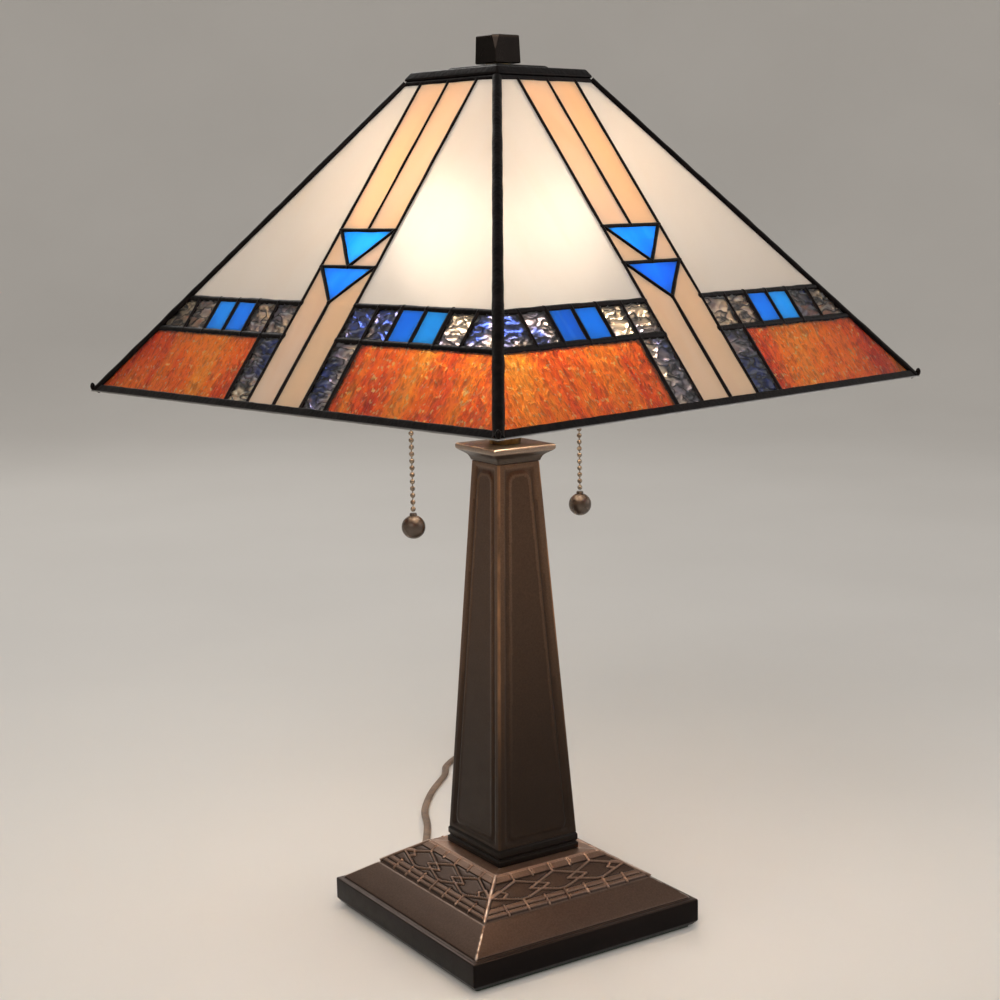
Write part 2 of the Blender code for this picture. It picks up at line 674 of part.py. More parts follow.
def make_plug(lamp):
    """Flat two-blade plug lying on the far side of the coil, pointing along its turns."""
    far = Vector((math.cos(COIL_FAR), math.sin(COIL_FAR), 0))
    centre = Vector((*COIL_CENTRE, COIL_TOP + GAP + PLUG_HALF[2])) + far * COIL_RADIUS
    axis = empty("plug_axis", centre, (0, 0, COIL_FAR - math.pi / 2), lamp)
    body = block("plug_body", [2 * half for half in PLUG_HALF], (0, 0, 0), "cord", axis)
    bevelled(body, 0.0028, 2)
    for name, side in (("plug_blade_left", 1), ("plug_blade_right", -1)):
        start = PLUG_HALF[0] + GAP
        blade = block(name, (0.0150, 0.0015, 0.0060), (start + 0.0075, side * 0.00635, 0), "brass", axis)
        bevelled(blade, 0.0005)


def make_lamp():
    lamp = empty("lamp")
    make_base(lamp)
    make_column(lamp)
    make_pipe(lamp)
    make_cluster(lamp)
    for name, side in (("left", -1), ("right", 1)):
        tilt = make_socket(name, side, lamp)
        make_spout(name, side, lamp)
        make_bulb(name, tilt)
        make_chain(name, side, lamp)
    seat = empty("seat_axis", rotation=(0, 0, SHADE_TURN), parent=lamp)
    shade = empty("shade_axis", parent=seat)
    make_glass(shade)
    make_frame(shade)
    make_crown(seat, shade)
    washer_axis = empty("finial_rise_axis", parent=shade)
    finial_axis = empty("finial_turn_axis", rotation=(0, 0, -SHADE_TURN), parent=washer_axis)
    make_finial(washer_axis, finial_axis)
    make_cord(lamp)


clear_scene()
LAMP = collection("stained_glass_table_lamp")
CUTTERS = collection("cutters", hidden=True)
make_lamp()
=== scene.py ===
"""Looks of the Mission table lamp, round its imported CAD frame. Metres, +Z up, cord at the back (+Y)."""

import math

import bmesh
import bpy
import numpy as np
from mathutils import Matrix, Vector, noise


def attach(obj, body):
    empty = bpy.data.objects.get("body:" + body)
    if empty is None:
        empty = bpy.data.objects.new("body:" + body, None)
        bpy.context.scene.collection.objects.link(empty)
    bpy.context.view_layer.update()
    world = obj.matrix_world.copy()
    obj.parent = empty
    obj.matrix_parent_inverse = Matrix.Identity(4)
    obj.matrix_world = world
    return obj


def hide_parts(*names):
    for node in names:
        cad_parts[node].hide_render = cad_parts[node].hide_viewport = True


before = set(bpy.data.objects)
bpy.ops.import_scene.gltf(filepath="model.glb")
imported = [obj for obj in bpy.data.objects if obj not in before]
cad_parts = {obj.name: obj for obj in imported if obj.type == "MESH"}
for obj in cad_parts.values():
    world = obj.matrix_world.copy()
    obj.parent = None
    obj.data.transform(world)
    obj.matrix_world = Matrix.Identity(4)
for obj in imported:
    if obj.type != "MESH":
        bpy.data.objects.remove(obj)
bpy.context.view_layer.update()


# Dimensions repeated from the CAD model
PLINTH_HALF = 0.0829
PLINTH_TOP = 0.0186
PLINTH_BOTTOM = 0.0016
FELT_HALF = 0.0790
FELT_TOP = 0.0013
SLOPE_FOOT = (0.0789, 0.0198)
SLOPE_HEAD = (0.0630, 0.0306)
PANEL_OUTER = (0.0616, 0.0322)
PANEL_INNER = (0.0386, 0.0468)
BASE_TOP = 0.0475
BASE_WALL = 0.0055
FOOT_HALF = 0.0300
FOOT_TOP = 0.0580
COLUMN_FOOT_HALF = 0.0291
COLUMN_NECK_HALF = 0.0150
COLUMN_BOTTOM = 0.0583
COLUMN_TOP = 0.2928
COLUMN_WALL = 0.0035
CAP_HALF = 0.0224
CAP_TOP = 0.3035
PIPE_BORE = 0.0052
SHADE_TURN = math.radians(10.9)
RIM_HALF = 0.1780
RIM_Z = 0.3395
CROWN_HALF = 0.0389
CROWN_Z = 0.5197
RIM_WALL = 0.0040
GLASS_THICK = 0.0030
GLASS_SUNK = 0.0010
CROWN_PLATE = (0.0392, 0.5187, 0.5237)
CROWN_CAP = (0.0212, 0.5240, 0.5262)
STUD_BORE = 0.0035
FINIAL_TURN = math.radians(5.6)
FINIAL_BOTTOM = 0.5278
FINIAL_TOP = 0.5440
SOCKET_REACH = 0.0340
SOCKET_Z = 0.3260
SOCKET_TILT = math.radians(3)
SHELL_RADIUS = 0.0166
SHELL_SEAM = 0.0180
SHELL_TOP = 0.0570
BULB_SCREW_TOP = 0.0565
BULB_CENTRE = 0.1035
BULB_RADIUS = 0.0300
CHAIN_X = 0.0613
CHAIN_Y = 0.0080
CHAIN_PIVOT_Z = 0.3375
KNOB_Z = 0.2578
KNOB_RADIUS = 0.00715
CORD_EXIT_Z = 0.0095
BUSHING_TIP_Y = 0.1050
COIL_CENTRE = (0.1990, 0.3044)
COIL_RADIUS = 0.0297
COIL_TOP = 0.0095
COIL_FAR = math.radians(56.94)
PLUG_HALF = (0.0120, 0.0105, 0.0063)
GAP = 0.0003
AXIS = 0.0002  # smallest radius of a turned profile

# Cord: flat twin lead
CORD_WIDTH = 0.0054
CORD_THICK = 0.0028
CORD_REST_Z = 0.0016
CORD_ROUTE = [
    (0.0000, BUSHING_TIP_Y + GAP, CORD_EXIT_Z),
    (0.0000, 0.1085, CORD_EXIT_Z),
    (0.0010, 0.1150, 0.0074),
    (0.0045, 0.1220, 0.0038),
    (0.0110, 0.1310, 0.0020),
]
FLOOR_ROUTE = (
    (0.0202, 0.1420), (0.0375, 0.1690), (0.0529, 0.1981), (0.0782, 0.2299), (0.1075, 0.2587),
    (0.1181, 0.2745), (0.1326, 0.2871), (0.1472, 0.2967), (0.1580, 0.3061),
)
CORD_ROUTE += [(x, y, CORD_REST_Z) for x, y in FLOOR_ROUTE]

# Camera, at the photograph's viewing angle
CAMERA_PLACE = Vector((-0.5878, -0.8919, 0.4532))
CAMERA_YAW = math.radians(33.184)
CAMERA_PITCH = math.radians(9.814)
CAMERA_ROLL = math.radians(1.117)
CAMERA_LENS = 63.86


def make_camera():
    data = bpy.data.cameras.new("camera")
    data.lens = CAMERA_LENS
    data.sensor_width = 36.0
    data.clip_start = 0.01
    camera = bpy.data.objects.new("camera", data)
    place = Matrix.Translation(CAMERA_PLACE)
    for angle, axis in ((-CAMERA_YAW, "Z"), (math.pi / 2 - CAMERA_PITCH, "X"), (-CAMERA_ROLL, "Z")):
        place = place @ Matrix.Rotation(angle, 4, axis)
    camera.matrix_world = place
    bpy.context.scene.collection.objects.link(camera)
    bpy.context.scene.camera = camera


# Mesh building


class Shape:
    """Vertices, faces and vertex values gathered from several parts, which become one object."""

    def __init__(self):
        self.points = []
        self.faces = []
        self.values = {}
        self.count = 0

    def add(self, points, faces, **values):
        points = np.asarray(points, float).reshape(-1, 3)
        self.points.append(points)
        self.faces += [[int(corner) + self.count for corner in face] for face in faces]
        for name, value in values.items():
            size = (len(points), 3) if name == "pane" else len(points)
            self.values.setdefault(name, []).append(np.broadcast_to(np.asarray(value, float), size))
        self.count += len(points)

    def loft(self, rings, closed=False, **values):
        """Skin over rings of points, capped at both ends unless its last ring meets its first."""
        rows, columns = rings.shape[:2]
        faces = grid_faces(rows, columns, wrap_rows=closed, wrap_columns=True).tolist()
        if not closed:
            faces += [list(range(columns)), list(range((rows - 1) * columns, rows * columns))]
        self.add(rings, faces, **values)

    def make(self, name, finish, body, slot, nodes=(), sharp=35.0, place=None):
        """The object, riding on its body and standing for the CAD nodes named."""
        mesh = bpy.data.meshes.new(name)
        mesh.from_pydata(np.concatenate(self.points).tolist(), [], self.faces)
        for key, parts in self.values.items():
            kind = "FLOAT_VECTOR" if key == "pane" else "FLOAT"
            attribute = mesh.attributes.new(key, kind, "POINT")
            field = "vector" if key == "pane" else "value"
            attribute.data.foreach_set(field, np.concatenate(parts).astype(np.float32).ravel())
        shape = bmesh.new()
        shape.from_mesh(mesh)
        bmesh.ops.recalc_face_normals(shape, faces=shape.faces)
        shape.to_mesh(mesh)
        shape.free()
        if place is not None:
            mesh.transform(place)
        mesh.shade_smooth()
        mesh.set_sharp_from_angle(angle=math.radians(sharp))
        mesh.materials.append(finish)
        made = bpy.data.objects.new(name, mesh)
        bpy.context.scene.collection.objects.link(made)
        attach(made, body)
        if nodes:
            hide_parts(*nodes)
        return made


def grid_faces(rows, columns, wrap_rows=False, wrap_columns=False):
    """Quads between neighbouring points of a grid held row by row."""
    row = np.arange(rows if wrap_rows else rows - 1)
    column = np.arange(columns if wrap_columns else columns - 1)
    row, column = (part.ravel() for part in np.meshgrid(row, column, indexing="ij"))
    below, beside = (row + 1) % rows, (column + 1) % columns
    corners = [(row, column), (row, beside), (below, beside), (below, column)]
    return np.stack([line * columns + place for line, place in corners], 1)


def filleted(points, radius, steps=3):
    """The polyline with each inner corner rounded."""
    points = [np.array(p, float) for p in points]
    made = [points[0]]
    for before, corner, after in zip(points, points[1:], points[2:]):
        back, ahead = before - corner, after - corner
        reach = min(radius, 0.45 * np.linalg.norm(back), 0.45 * np.linalg.norm(ahead))
        start = corner + back / np.linalg.norm(back) * reach
        end = corner + ahead / np.linalg.norm(ahead) * reach
        for t in np.linspace(0, 1, steps + 1):
            made.append((1 - t) ** 2 * start + 2 * t * (1 - t) * corner + t**2 * end)
    return np.array(made + [points[-1]])


def densified(points, spacing):
    """The polyline with extra points, so that no step is longer than the spacing."""
    points = np.asarray(points, float)
    made = []
    for start, end in zip(points, points[1:]):
        count = max(1, math.ceil(np.linalg.norm(end - start) / spacing))
        made.extend(start + (end - start) * step / count for step in range(count))
    return np.array(made + [points[-1]])


def square_loop(across, around):
    """Flat and corner coefficients of a rounded square, and each point's place along its side."""
    flat = np.linspace(-1, 1, across)
    angles = np.radians(np.linspace(-90, 0, around + 1))[1:-1]
    outline = [(a, -1, 0, -1, a) for a in flat]
    outline += [(1, -1, math.cos(angle), math.sin(angle), 1) for angle in angles]
    side = np.array(outline)
    loop = []
    for index in range(4):
        turn = math.pi / 2 * index
        spin = np.array([[math.cos(turn), math.sin(turn)], [-math.sin(turn), math.cos(turn)]])
        loop.append(np.hstack([side[:, :2] @ spin, side[:, 2:4] @ spin, side[:, 4:]]))
    return np.concatenate(loop)


def swept_square(
    shape, profile, corner, across=2, around=5, relief=None, wear=None, edging=None, closed=False
):
    """Sweeps a (half width, z) profile, outer side top to bottom, round a square with rounded corners.

    relief(u, half, z) moves points out along the profile's normal, u being the place along the side.
    wear(u, half, z) gives rubbing plus painted lamp light and highlights, and edging(z) the painted edge
    highlight."""
    profile = np.asarray(profile, float)
    loop = square_loop(across, around)
    half = np.repeat(profile[:, :1], len(loop), 1)
    height = np.repeat(profile[:, 1:], len(loop), 1)
    place = loop[None, :, 4] * half
    rubbed_and_lit = wear(place, half, height) if wear else 0 * half
    painted_highlight = edging(height) if edging else 1 + 0 * half
    if relief:
        slope = np.gradient(profile, axis=0)
        slope /= np.maximum(np.linalg.norm(slope, axis=1, keepdims=True), 1e-9)
        rise = relief(place, half, height)
        half = half - slope[:, 1:] * rise
        height = height + slope[:, :1] * rise
    radius = np.minimum(corner, half * 0.98)
    reach = half - radius
    flat = [loop[:, axis] * reach + loop[:, axis + 2] * radius for axis in (0, 1)]
    # Painted highlight, on the vertical corner points only.
    edge = (np.abs(loop[:, 4]) > 0.9999) * painted_highlight
    shape.loft(np.stack([*flat, height], -1), closed, wear=rubbed_and_lit.ravel(), edge=edge.ravel())


def square_piece(name, profile, corner, finish, body, slot, node, sharp=35.0, place=None, **sweep):
    shape = Shape()
    swept_square(shape, profile, corner, **sweep)
    shape.make(name, finish, body, slot, [node], sharp, place)


def lathe(shape, profile, steps, place=Matrix.Identity(4), closed=False):
    """Turns a (radius, z) profile about Z, then moves it to its place."""
    profile = np.asarray(profile, float)
    angle = np.linspace(0, 2 * math.pi, steps, endpoint=False)
    radius, height = profile[:, :1], profile[:, 1:] + 0 * angle
    points = np.stack([radius * np.cos(angle), radius * np.sin(angle), height, 1 + 0 * height], -1)
    shape.loft((points @ np.array(place).T)[..., :3], closed)


def turned_piece(name, profile, steps, place, finish, body, slot, node, sharp=35.0, closed=False):
    shape = Shape()
    lathe(shape, profile, steps, place, closed)
    return shape.make(name, finish, body, slot, [node], sharp)


def tube(shape, centres, sideways, width, height, sections=12, lobes=0.0):
    """A closed tube of elliptic section through the centres, its width along the sideways vectors."""
    centres = np.asarray(centres, float)
    tangent = np.gradient(centres, axis=0)
    tangent /= np.linalg.norm(tangent, axis=1, keepdims=True)
    sideways = np.broadcast_to(np.asarray(sideways, float), centres.shape)
    sideways = sideways - tangent * np.sum(sideways * tangent, axis=1, keepdims=True)
    sideways /= np.linalg.norm(sideways, axis=1, keepdims=True)
    above = np.cross(sideways, tangent)
    angle = np.linspace(0, 2 * math.pi, sections, endpoint=False)
    width = np.broadcast_to(width, len(centres))[:, None, None]
    height = np.broadcast_to(height, len(centres))[:, None, None]
    pinch = (1 - lobes * (1 - np.abs(np.cos(angle))) ** 2)[None, :, None]
    points = (
        centres[:, None, :]
        + sideways[:, None, :] * np.cos(angle)[None, :, None] * width / 2
        + above[:, None, :] * np.sin(angle)[None, :, None] * height / 2 * pinch
    )
    shape.loft(points)


def smooth_route(route, spacing):
    """Points about a spacing apart on the Catmull-Rom curve through the route's points."""
    points = [Vector(p) for p in route]
    ends = [2 * points[0] - points[1]] + points + [2 * points[-1] - points[-2]]
    curve = []
    for before, start, end, after in zip(ends, ends[1:], ends[2:], ends[3:]):
        count = max(1, round((end - start).length / spacing))
        for step in range(count):
            t = step / count
            curve.append(
                0.5 * (
                    2 * start
                    + (end - before) * t
                    + (2 * before - 5 * start + 4 * end - after) * t**2
                    + (3 * start - before - 3 * end + after) * t**3
                )
            )
    return curve + [points[-1]]


def smoothstep(low, high, value):
    t = np.clip((value - low) / (high - low), 0, 1)
    return t * t * (3 - 2 * t)


def ripple(places, stretch, *seed):
    """Smooth repeatable noise along a line."""
    return np.array([noise.noise(Vector((place * stretch, *seed))) for place in places])


def under(low, high, value):
    """1 below low, falling smoothly to 0 at high."""
    return 1 - smoothstep(low, high, value)


# Materials

BULB_STRENGTH = 36.0


class Finish:
    """One procedural material and short ways to add its nodes."""

    def __init__(self, name):
        self.material = bpy.data.materials.new(name)
        self.material.use_nodes = True
        self.tree = self.material.node_tree
        self.shader = self.tree.nodes["Principled BSDF"]
        self.output = self.tree.nodes["Material Output"]

    def node(self, kind, **settings):
        made = self.tree.nodes.new("ShaderNode" + kind)
        for key, value in settings.items():
            setattr(made, key, value)
        return made

    def link(self, source, node, socket):
        if isinstance(source, (int, float, tuple)):
            node.inputs[socket].default_value = source
        else:
            self.tree.links.new(source, node.inputs[socket])

    def set(self, **values):
        for key, value in values.items():
            self.link(value, self.shader, key.replace("_", " "))

    def place(self, scale=(1, 1, 1), attribute=None):
        """Object coordinates, or a stored attribute, stretched by a scale."""
        if attribute:
            source = self.node("Attribute", attribute_name=attribute).outputs["Vector"]
        else:
            source = self.node("TexCoord").outputs["Object"]
        mapping = self.node("Mapping")
        self.link(source, mapping, "Vector")
        mapping.inputs["Scale"].default_value = scale
        return mapping.outputs["Vector"]

    def noise(self, vector, scale, detail=3.0, rough=0.5, warp=0.0):
        made = self.node("TexNoise")
        self.link(vector, made, "Vector")
        settings = {"Scale": scale, "Detail": detail, "Roughness": rough, "Distortion": warp}
        for key, value in settings.items():
            made.inputs[key].default_value = value
        return made.outputs["Fac"]

    def value(self, attribute):
        return self.node("Attribute", attribute_name=attribute).outputs["Fac"]

    def math(self, operation, first, second=0.0, third=0.0):
        made = self.node("Math", operation=operation)
        for index, part in enumerate((first, second, third)):
            self.link(part, made, index)
        return made.outputs[0]

    def ramp(self, factor, *stops):
        """Colour stops (place, colour), or grey stops (place, level)."""
        made = self.node("ValToRGB")
        self.link(factor, made, "Fac")
        ramp = made.color_ramp
        while len(ramp.elements) < len(stops):
            ramp.elements.new(1.0)
        for element, (place, colour) in zip(ramp.elements, stops):
            element.position = place
            element.color = (*colour, 1) if isinstance(colour, tuple) else (colour, colour, colour, 1)
        return made.outputs["Color"]

    def mix(self, factor, first, second, blend="MIX"):
        made = self.node("Mix", data_type="RGBA", blend_type=blend)
        self.link(factor, made, 0)
        for index, colour in ((6, first), (7, second)):
            self.link((*colour, 1.0) if isinstance(colour, tuple) else colour, made, index)
        return made.outputs[2]

    def bump(self, height, strength, distance, normal=None):
        made = self.node("Bump")
        made.inputs["Strength"].default_value = strength
        made.inputs["Distance"].default_value = distance
        self.link(height, made, "Height")
        if normal:
            self.link(normal, made, "Normal")
        return made.outputs["Normal"]

    def glow_through(self, colour, share, normal=None):
        """Mixes in light that passes through the piece from behind."""
        through = self.node("BsdfTranslucent")
        self.link(colour, through, "Color")
        if normal:
            self.link(normal, through, "Normal")
        mixed = self.node("MixShader")
        mixed.inputs[0].default_value = share
        for index, shader in enumerate((self.shader, through), 1):
            self.link(shader.outputs[0], mixed, index)
        self.link(mixed.outputs[0], self.output, "Surface")


def bronze(name, dark, rubbed_and_lit, highlight_colour, rough=0.42, edge=0.5, metal=0.6):
    """Dark patinated casting, rubbed and painted-lit where 'wear' says so, with a painted highlight on part
    of its 'edge'.
    """
    finish = Finish(name)
    place = finish.place()
    cloud = finish.noise(place, 34, detail=3)
    grain = finish.noise(place, 900, detail=3, rough=0.6)
    smear = finish.noise(finish.place((1, 1, 0.3)), 60, detail=4, rough=0.6)
    patches = finish.noise(place, 120, detail=4)
    deep, light = (tuple(level * part for part in dark) for level in (0.85, 1.15))
    patina = finish.ramp(cloud, (0.3, deep), (0.7, light))
    # The 'wear' value is real rubbing plus painted lamp glow and highlights on the column.
    lighter_share = finish.math("MULTIPLY", finish.value("wear"), finish.ramp(grain, (0.30, 0.7), (0.70, 1.0)))
    # Painted highlight along the vertical corners, broken up by the smear noise.
    along = finish.math("MULTIPLY", finish.value("edge"), edge)
    painted_highlight = finish.math("MULTIPLY", along, finish.ramp(smear, (0.40, 0.0), (0.62, 1.0)))
    finish.set(
        Base_Color=finish.mix(painted_highlight, finish.mix(lighter_share, patina, rubbed_and_lit), highlight_colour),
        Roughness=finish.ramp(patches, (0.3, rough - 0.05), (0.75, rough + 0.08)),
        Metallic=metal,
        Normal=finish.bump(grain, 0.14, 0.0003, finish.bump(cloud, 0.10, 0.0012)),
    )
    return finish.material


def metal(name, colour, rough, tarnish, scale=120):
    """Plain metal with tarnish in patches and fine scratches."""
    finish = Finish(name)
    patches = finish.noise(finish.place(), scale, detail=5, rough=0.6)
    scratches = finish.noise(finish.place((1, 1, 0.08)), 1400, detail=2)
    finish.set(
        Base_Color=finish.mix(finish.ramp(patches, (0.42, 0.0), (0.72, 1.0)), colour, tarnish),
        Roughness=finish.ramp(patches, (0.3, rough), (0.8, rough + 0.2)),
        Metallic=1.0,
        Normal=finish.bump(scratches, 0.12, 0.0002),
    )
    return finish.material


def came_metal():
    """Black patina on solder, with bare grey metal where the value 'bare' says so."""
    finish = Finish("patinated_came")
    place = finish.place()
    patches = finish.noise(place, 220, detail=4)
    lumps = finish.noise(place, 420, detail=2)
    dark = finish.ramp(patches, (0.35, (0.003, 0.002, 0.002)), (0.75, (0.012, 0.007, 0.006)))
    finish.set(
        Base_Color=finish.mix(finish.value("bare"), dark, (0.42, 0.40, 0.38)),
        Roughness=finish.ramp(patches, (0.3, 0.30), (0.7, 0.46)),
        Metallic=0.9,
        Normal=finish.bump(lumps, 0.35, 0.0006),
    )
    return finish.material


def opal_glass(name, stops, streak, share, surface, scale=16, clear=0.0):
    """Milky glass with soft wisps.

    stops are its colours in transmitted light, share how much of it passes, and clear its blurred
    view through."""
    finish = Finish(name)
    place = finish.place((1, 0.35, 1), "pane")
    wisps = finish.noise(place, scale, detail=4, rough=0.55, warp=0.8)
    thin = finish.noise(finish.place((1, 0.22, 1), "pane"), scale * 2.2, detail=3, warp=1.2)
    streaked = finish.ramp(thin, (0.58, 0.0), (0.80, streak[1]))
    colour = finish.mix(streaked, finish.ramp(wisps, *stops), streak[0])
    finish.set(
        Base_Color=finish.mix(0.35, surface, colour),
        Roughness=0.42 if clear else 0.12,
        IOR=1.45,
        Transmission_Weight=clear,
        Coat_Weight=0.3,
        Normal=finish.bump(finish.noise(place, 45, detail=2), 0.25, 0.0015),
    )
    finish.glow_through(colour, share)
    return finish.material


def hammered_glass(name, smoke, blue):
    """Smoky glass with a worm-like hammered face, through which the lit bulbs break up, its creases painted
    dark as shade.
    """
    finish = Finish(name)
    worms = finish.noise(finish.place((0.75, 1.25, 1), "pane"), 150, detail=1, rough=0.3, warp=0.5)
    ridge = finish.math("ABSOLUTE", finish.math("SUBTRACT", worms, 0.5))
    # Painted shade: near-black colour along the hammered creases.
    groove = finish.ramp(ridge, (0.0, 1.0), (0.030, 0.85), (0.075, 0.0))
    patches = finish.noise(finish.place((1, 1, 1), "pane"), 26, detail=2)
    body = finish.mix(finish.ramp(patches, (0.42, 0.0), (0.60, 1.0)), smoke, blue)
    finish.set(
        Base_Color=finish.mix(groove, body, (0.006, 0.006, 0.010)),
        Roughness=0.32,
        IOR=1.5,
        Transmission_Weight=1.0,
        Normal=finish.bump(ridge, 1.0, 0.0040),
    )
    return finish.material


def amber_glass():
    """Streaky orange and red glass with a granular ripple along its streaks."""
    finish = Finish("amber_streaky_glass")
    streaks = finish.noise(finish.place((1, 0.10, 1), "pane"), 210, detail=5, rough=0.70, warp=0.25)
    broad = finish.noise(finish.place((1, 0.25, 1), "pane"), 30, detail=2)
    blend = finish.math("MULTIPLY_ADD", broad, 0.70, finish.math("MULTIPLY", streaks, 0.50))
    colour = finish.ramp(
        blend,
        (0.44, (0.42, 0.015, 0.001)),
        (0.51, (0.72, 0.070, 0.002)),
        (0.58, (0.90, 0.170, 0.005)),
        (0.66, (0.98, 0.300, 0.010)),
        (0.76, (0.95, 0.420, 0.040)),
    )
    fleck = finish.noise(finish.place((1, 0.70, 1), "pane"), 430, detail=1, rough=0.5)
    colour = finish.mix(finish.ramp(fleck, (0.62, 0.0), (0.69, 1.0)), colour, (1.0, 0.84, 0.38))
    ripple = finish.noise(finish.place((1, 0.40, 1), "pane"), 460, detail=3, rough=0.6, warp=0.8)
    shadow = finish.ramp(ripple, (0.38, 0.45), (0.52, 1.0))
    colour = finish.mix(1.0, colour, shadow, "MULTIPLY")
    normal = finish.bump(ripple, 0.8, 0.0012)
    finish.set(
        Base_Color=colour,
        Roughness=0.34,
        IOR=1.5,
        Transmission_Weight=0.95,
        Normal=normal,
    )
    finish.glow_through(colour, 0.18, normal)
    return finish.material


def lamp_glass():
    """Frosted glass of a lit bulb, its warm glow varied a little by the frost."""
    finish = Finish("frosted_lit_glass")
    place = finish.place()
    frost = finish.noise(place, 80, detail=3)
    glow = finish.ramp(frost, (0.2, (1.0, 0.86, 0.70)), (0.8, (1.0, 0.89, 0.75)))
    finish.set(
        Base_Color=(0.9, 0.88, 0.84, 1.0),
        Roughness=0.35,
        Emission_Color=glow,
        Emission_Strength=BULB_STRENGTH,
        Normal=finish.bump(frost, 0.2, 0.0005),
    )
    return finish.material


def plastic(name, colour, pale, rough=0.42, scale=260, through=0.0):
    """Moulded plastic or rubber with a faint mottled surface."""
    finish = Finish(name)
    place = finish.place()
    mottle = finish.noise(place, scale, detail=4, rough=0.6)
    finish.set(
        Base_Color=finish.ramp(mottle, (0.3, colour), (0.75, pale)),
        Roughness=finish.ramp(mottle, (0.3, rough), (0.8, rough + 0.15)),
        Transmission_Weight=through,
        Normal=finish.bump(finish.noise(place, 1500, detail=2), 0.15, 0.0002),
    )
    return finish.material


def felt():
    finish = Finish("green_felt")
    place = finish.place()
    fibres = finish.noise(place, 1600, detail=5, rough=0.7, warp=1.5)
    finish.set(
        Base_Color=finish.ramp(fibres, (0.3, (0.008, 0.020, 0.010)), (0.8, (0.030, 0.062, 0.034))),
        Roughness=0.95,
        Sheen_Weight=0.4,
        Normal=finish.bump(fibres, 0.8, 0.0006),
    )
    return finish.material


# Base and column

# Base pattern, as places along the side and down the slope: brick rows, long links and hooks
BRICK_LINES = (0.0, 0.0050, 0.0201, 0.0238, 0.0270)
INNER_BRICK = 0.0142
OUTER_BRICK = 0.01475
LINK_PITCH = 0.0284
LINK = [(0.0, 0.0058), (0.0213, 0.0136), (0.0022, 0.0192)]
HOOK = [(0.0480, 0.0121), (0.0426, 0.0101), (0.0378, 0.0134), (0.0412, 0.0152)]


def segment_distance(u, t, start, end):
    (x0, y0), (x1, y1) = start, end
    dx, dy = x1 - x0, y1 - y0
    along = np.clip(((u - x0) * dx + (t - y0) * dy) / (dx * dx + dy * dy), 0, 1)
    return np.hypot(u - x0 - along * dx, t - y0 - along * dy)


def panel_ridges():
    """Raised lines of the base's pattern as (start, end) in (along the side, down the slope)."""
    inner, inner_row, outer_row, _, outer = BRICK_LINES
    paths = [[(index * INNER_BRICK, inner), (index * INNER_BRICK, inner_row)] for index in range(-2, 3)]
    paths += [[(index * OUTER_BRICK, outer_row), (index * OUTER_BRICK, outer)] for index in range(-3, 4)]
    for index in (-1, 0, 1):
        paths.append([(index * LINK_PITCH + side * x, y) for side in (1, -1) for x, y in LINK[::side]])
    paths += [[(side * x, y) for x, y in HOOK] for side in (-1, 1)]
    return [line for path in paths for line in zip(path, path[1:])]


def panel_height(u, half, z):
    """Height of the base's cast pattern over its slope."""
    run = PANEL_OUTER[0] - PANEL_INNER[0]
    drop = PANEL_INNER[1] - PANEL_OUTER[1]
    down = (half - PANEL_INNER[0]) / run * math.hypot(run, drop)
    on_slope = np.abs(z - (PANEL_INNER[1] - (half - PANEL_INNER[0]) / run * drop)) < 1e-5
    inside = on_slope & (down > -1e-6) & (half < PANEL_OUTER[0] + 1e-6)
    _, inner_row, outer_row, *_ = BRICK_LINES
    bricks = np.where((down < inner_row) | (down > outer_row), 0.00045, 0.0)
    groove = np.full(down.shape, 1.0)
    for line in BRICK_LINES:
        groove = np.minimum(groove, np.abs(down - line))
    flat = bricks - 0.00075 * under(0.00018, 0.00055, groove)
    nearest = np.full(down.shape, 1.0)
    for start, end in panel_ridges():
        nearest = np.minimum(nearest, segment_distance(u, down, start, end))
    hip = (half - np.abs(u)) * 0.9
    nearest = np.minimum(nearest, hip)
    ridge = 0.00085 * under(0.00032, 0.00085, nearest)
    trench = 0.00045 * under(0.0008, 0.0017, nearest)
    height = np.where(ridge > 0, np.maximum(flat, ridge), flat - trench)
    return np.where(inside, height, 0.0)


def base_wear(u, half, z):
    height = panel_height(u, half, z)
    ring = (z > BASE_TOP - 0.0010) * 1.0
    raised = np.clip(height / 0.0008, -0.6, 1.0)
    on_panel = (half > PANEL_INNER[0] - 1e-6) & (half < PANEL_OUTER[0] + 1e-6)
    slope = (z > SLOPE_FOOT[1] - 0.0004) * (half > PANEL_OUTER[0]) * 0.32
    # Painted highlight: a bright band along the plinth's top edge.
    lip = np.exp(-np.abs(z - PLINTH_TOP) / 0.0004) * 0.20
    return np.maximum(np.maximum(ring, slope), np.where(on_panel, 0.26 + 0.60 * raised, 0.0)) + lip


def base_edging(z):
    """Painted highlight on the slope's corners, none on the plinth."""
    return smoothstep(PLINTH_TOP, SLOPE_FOOT[1], z)


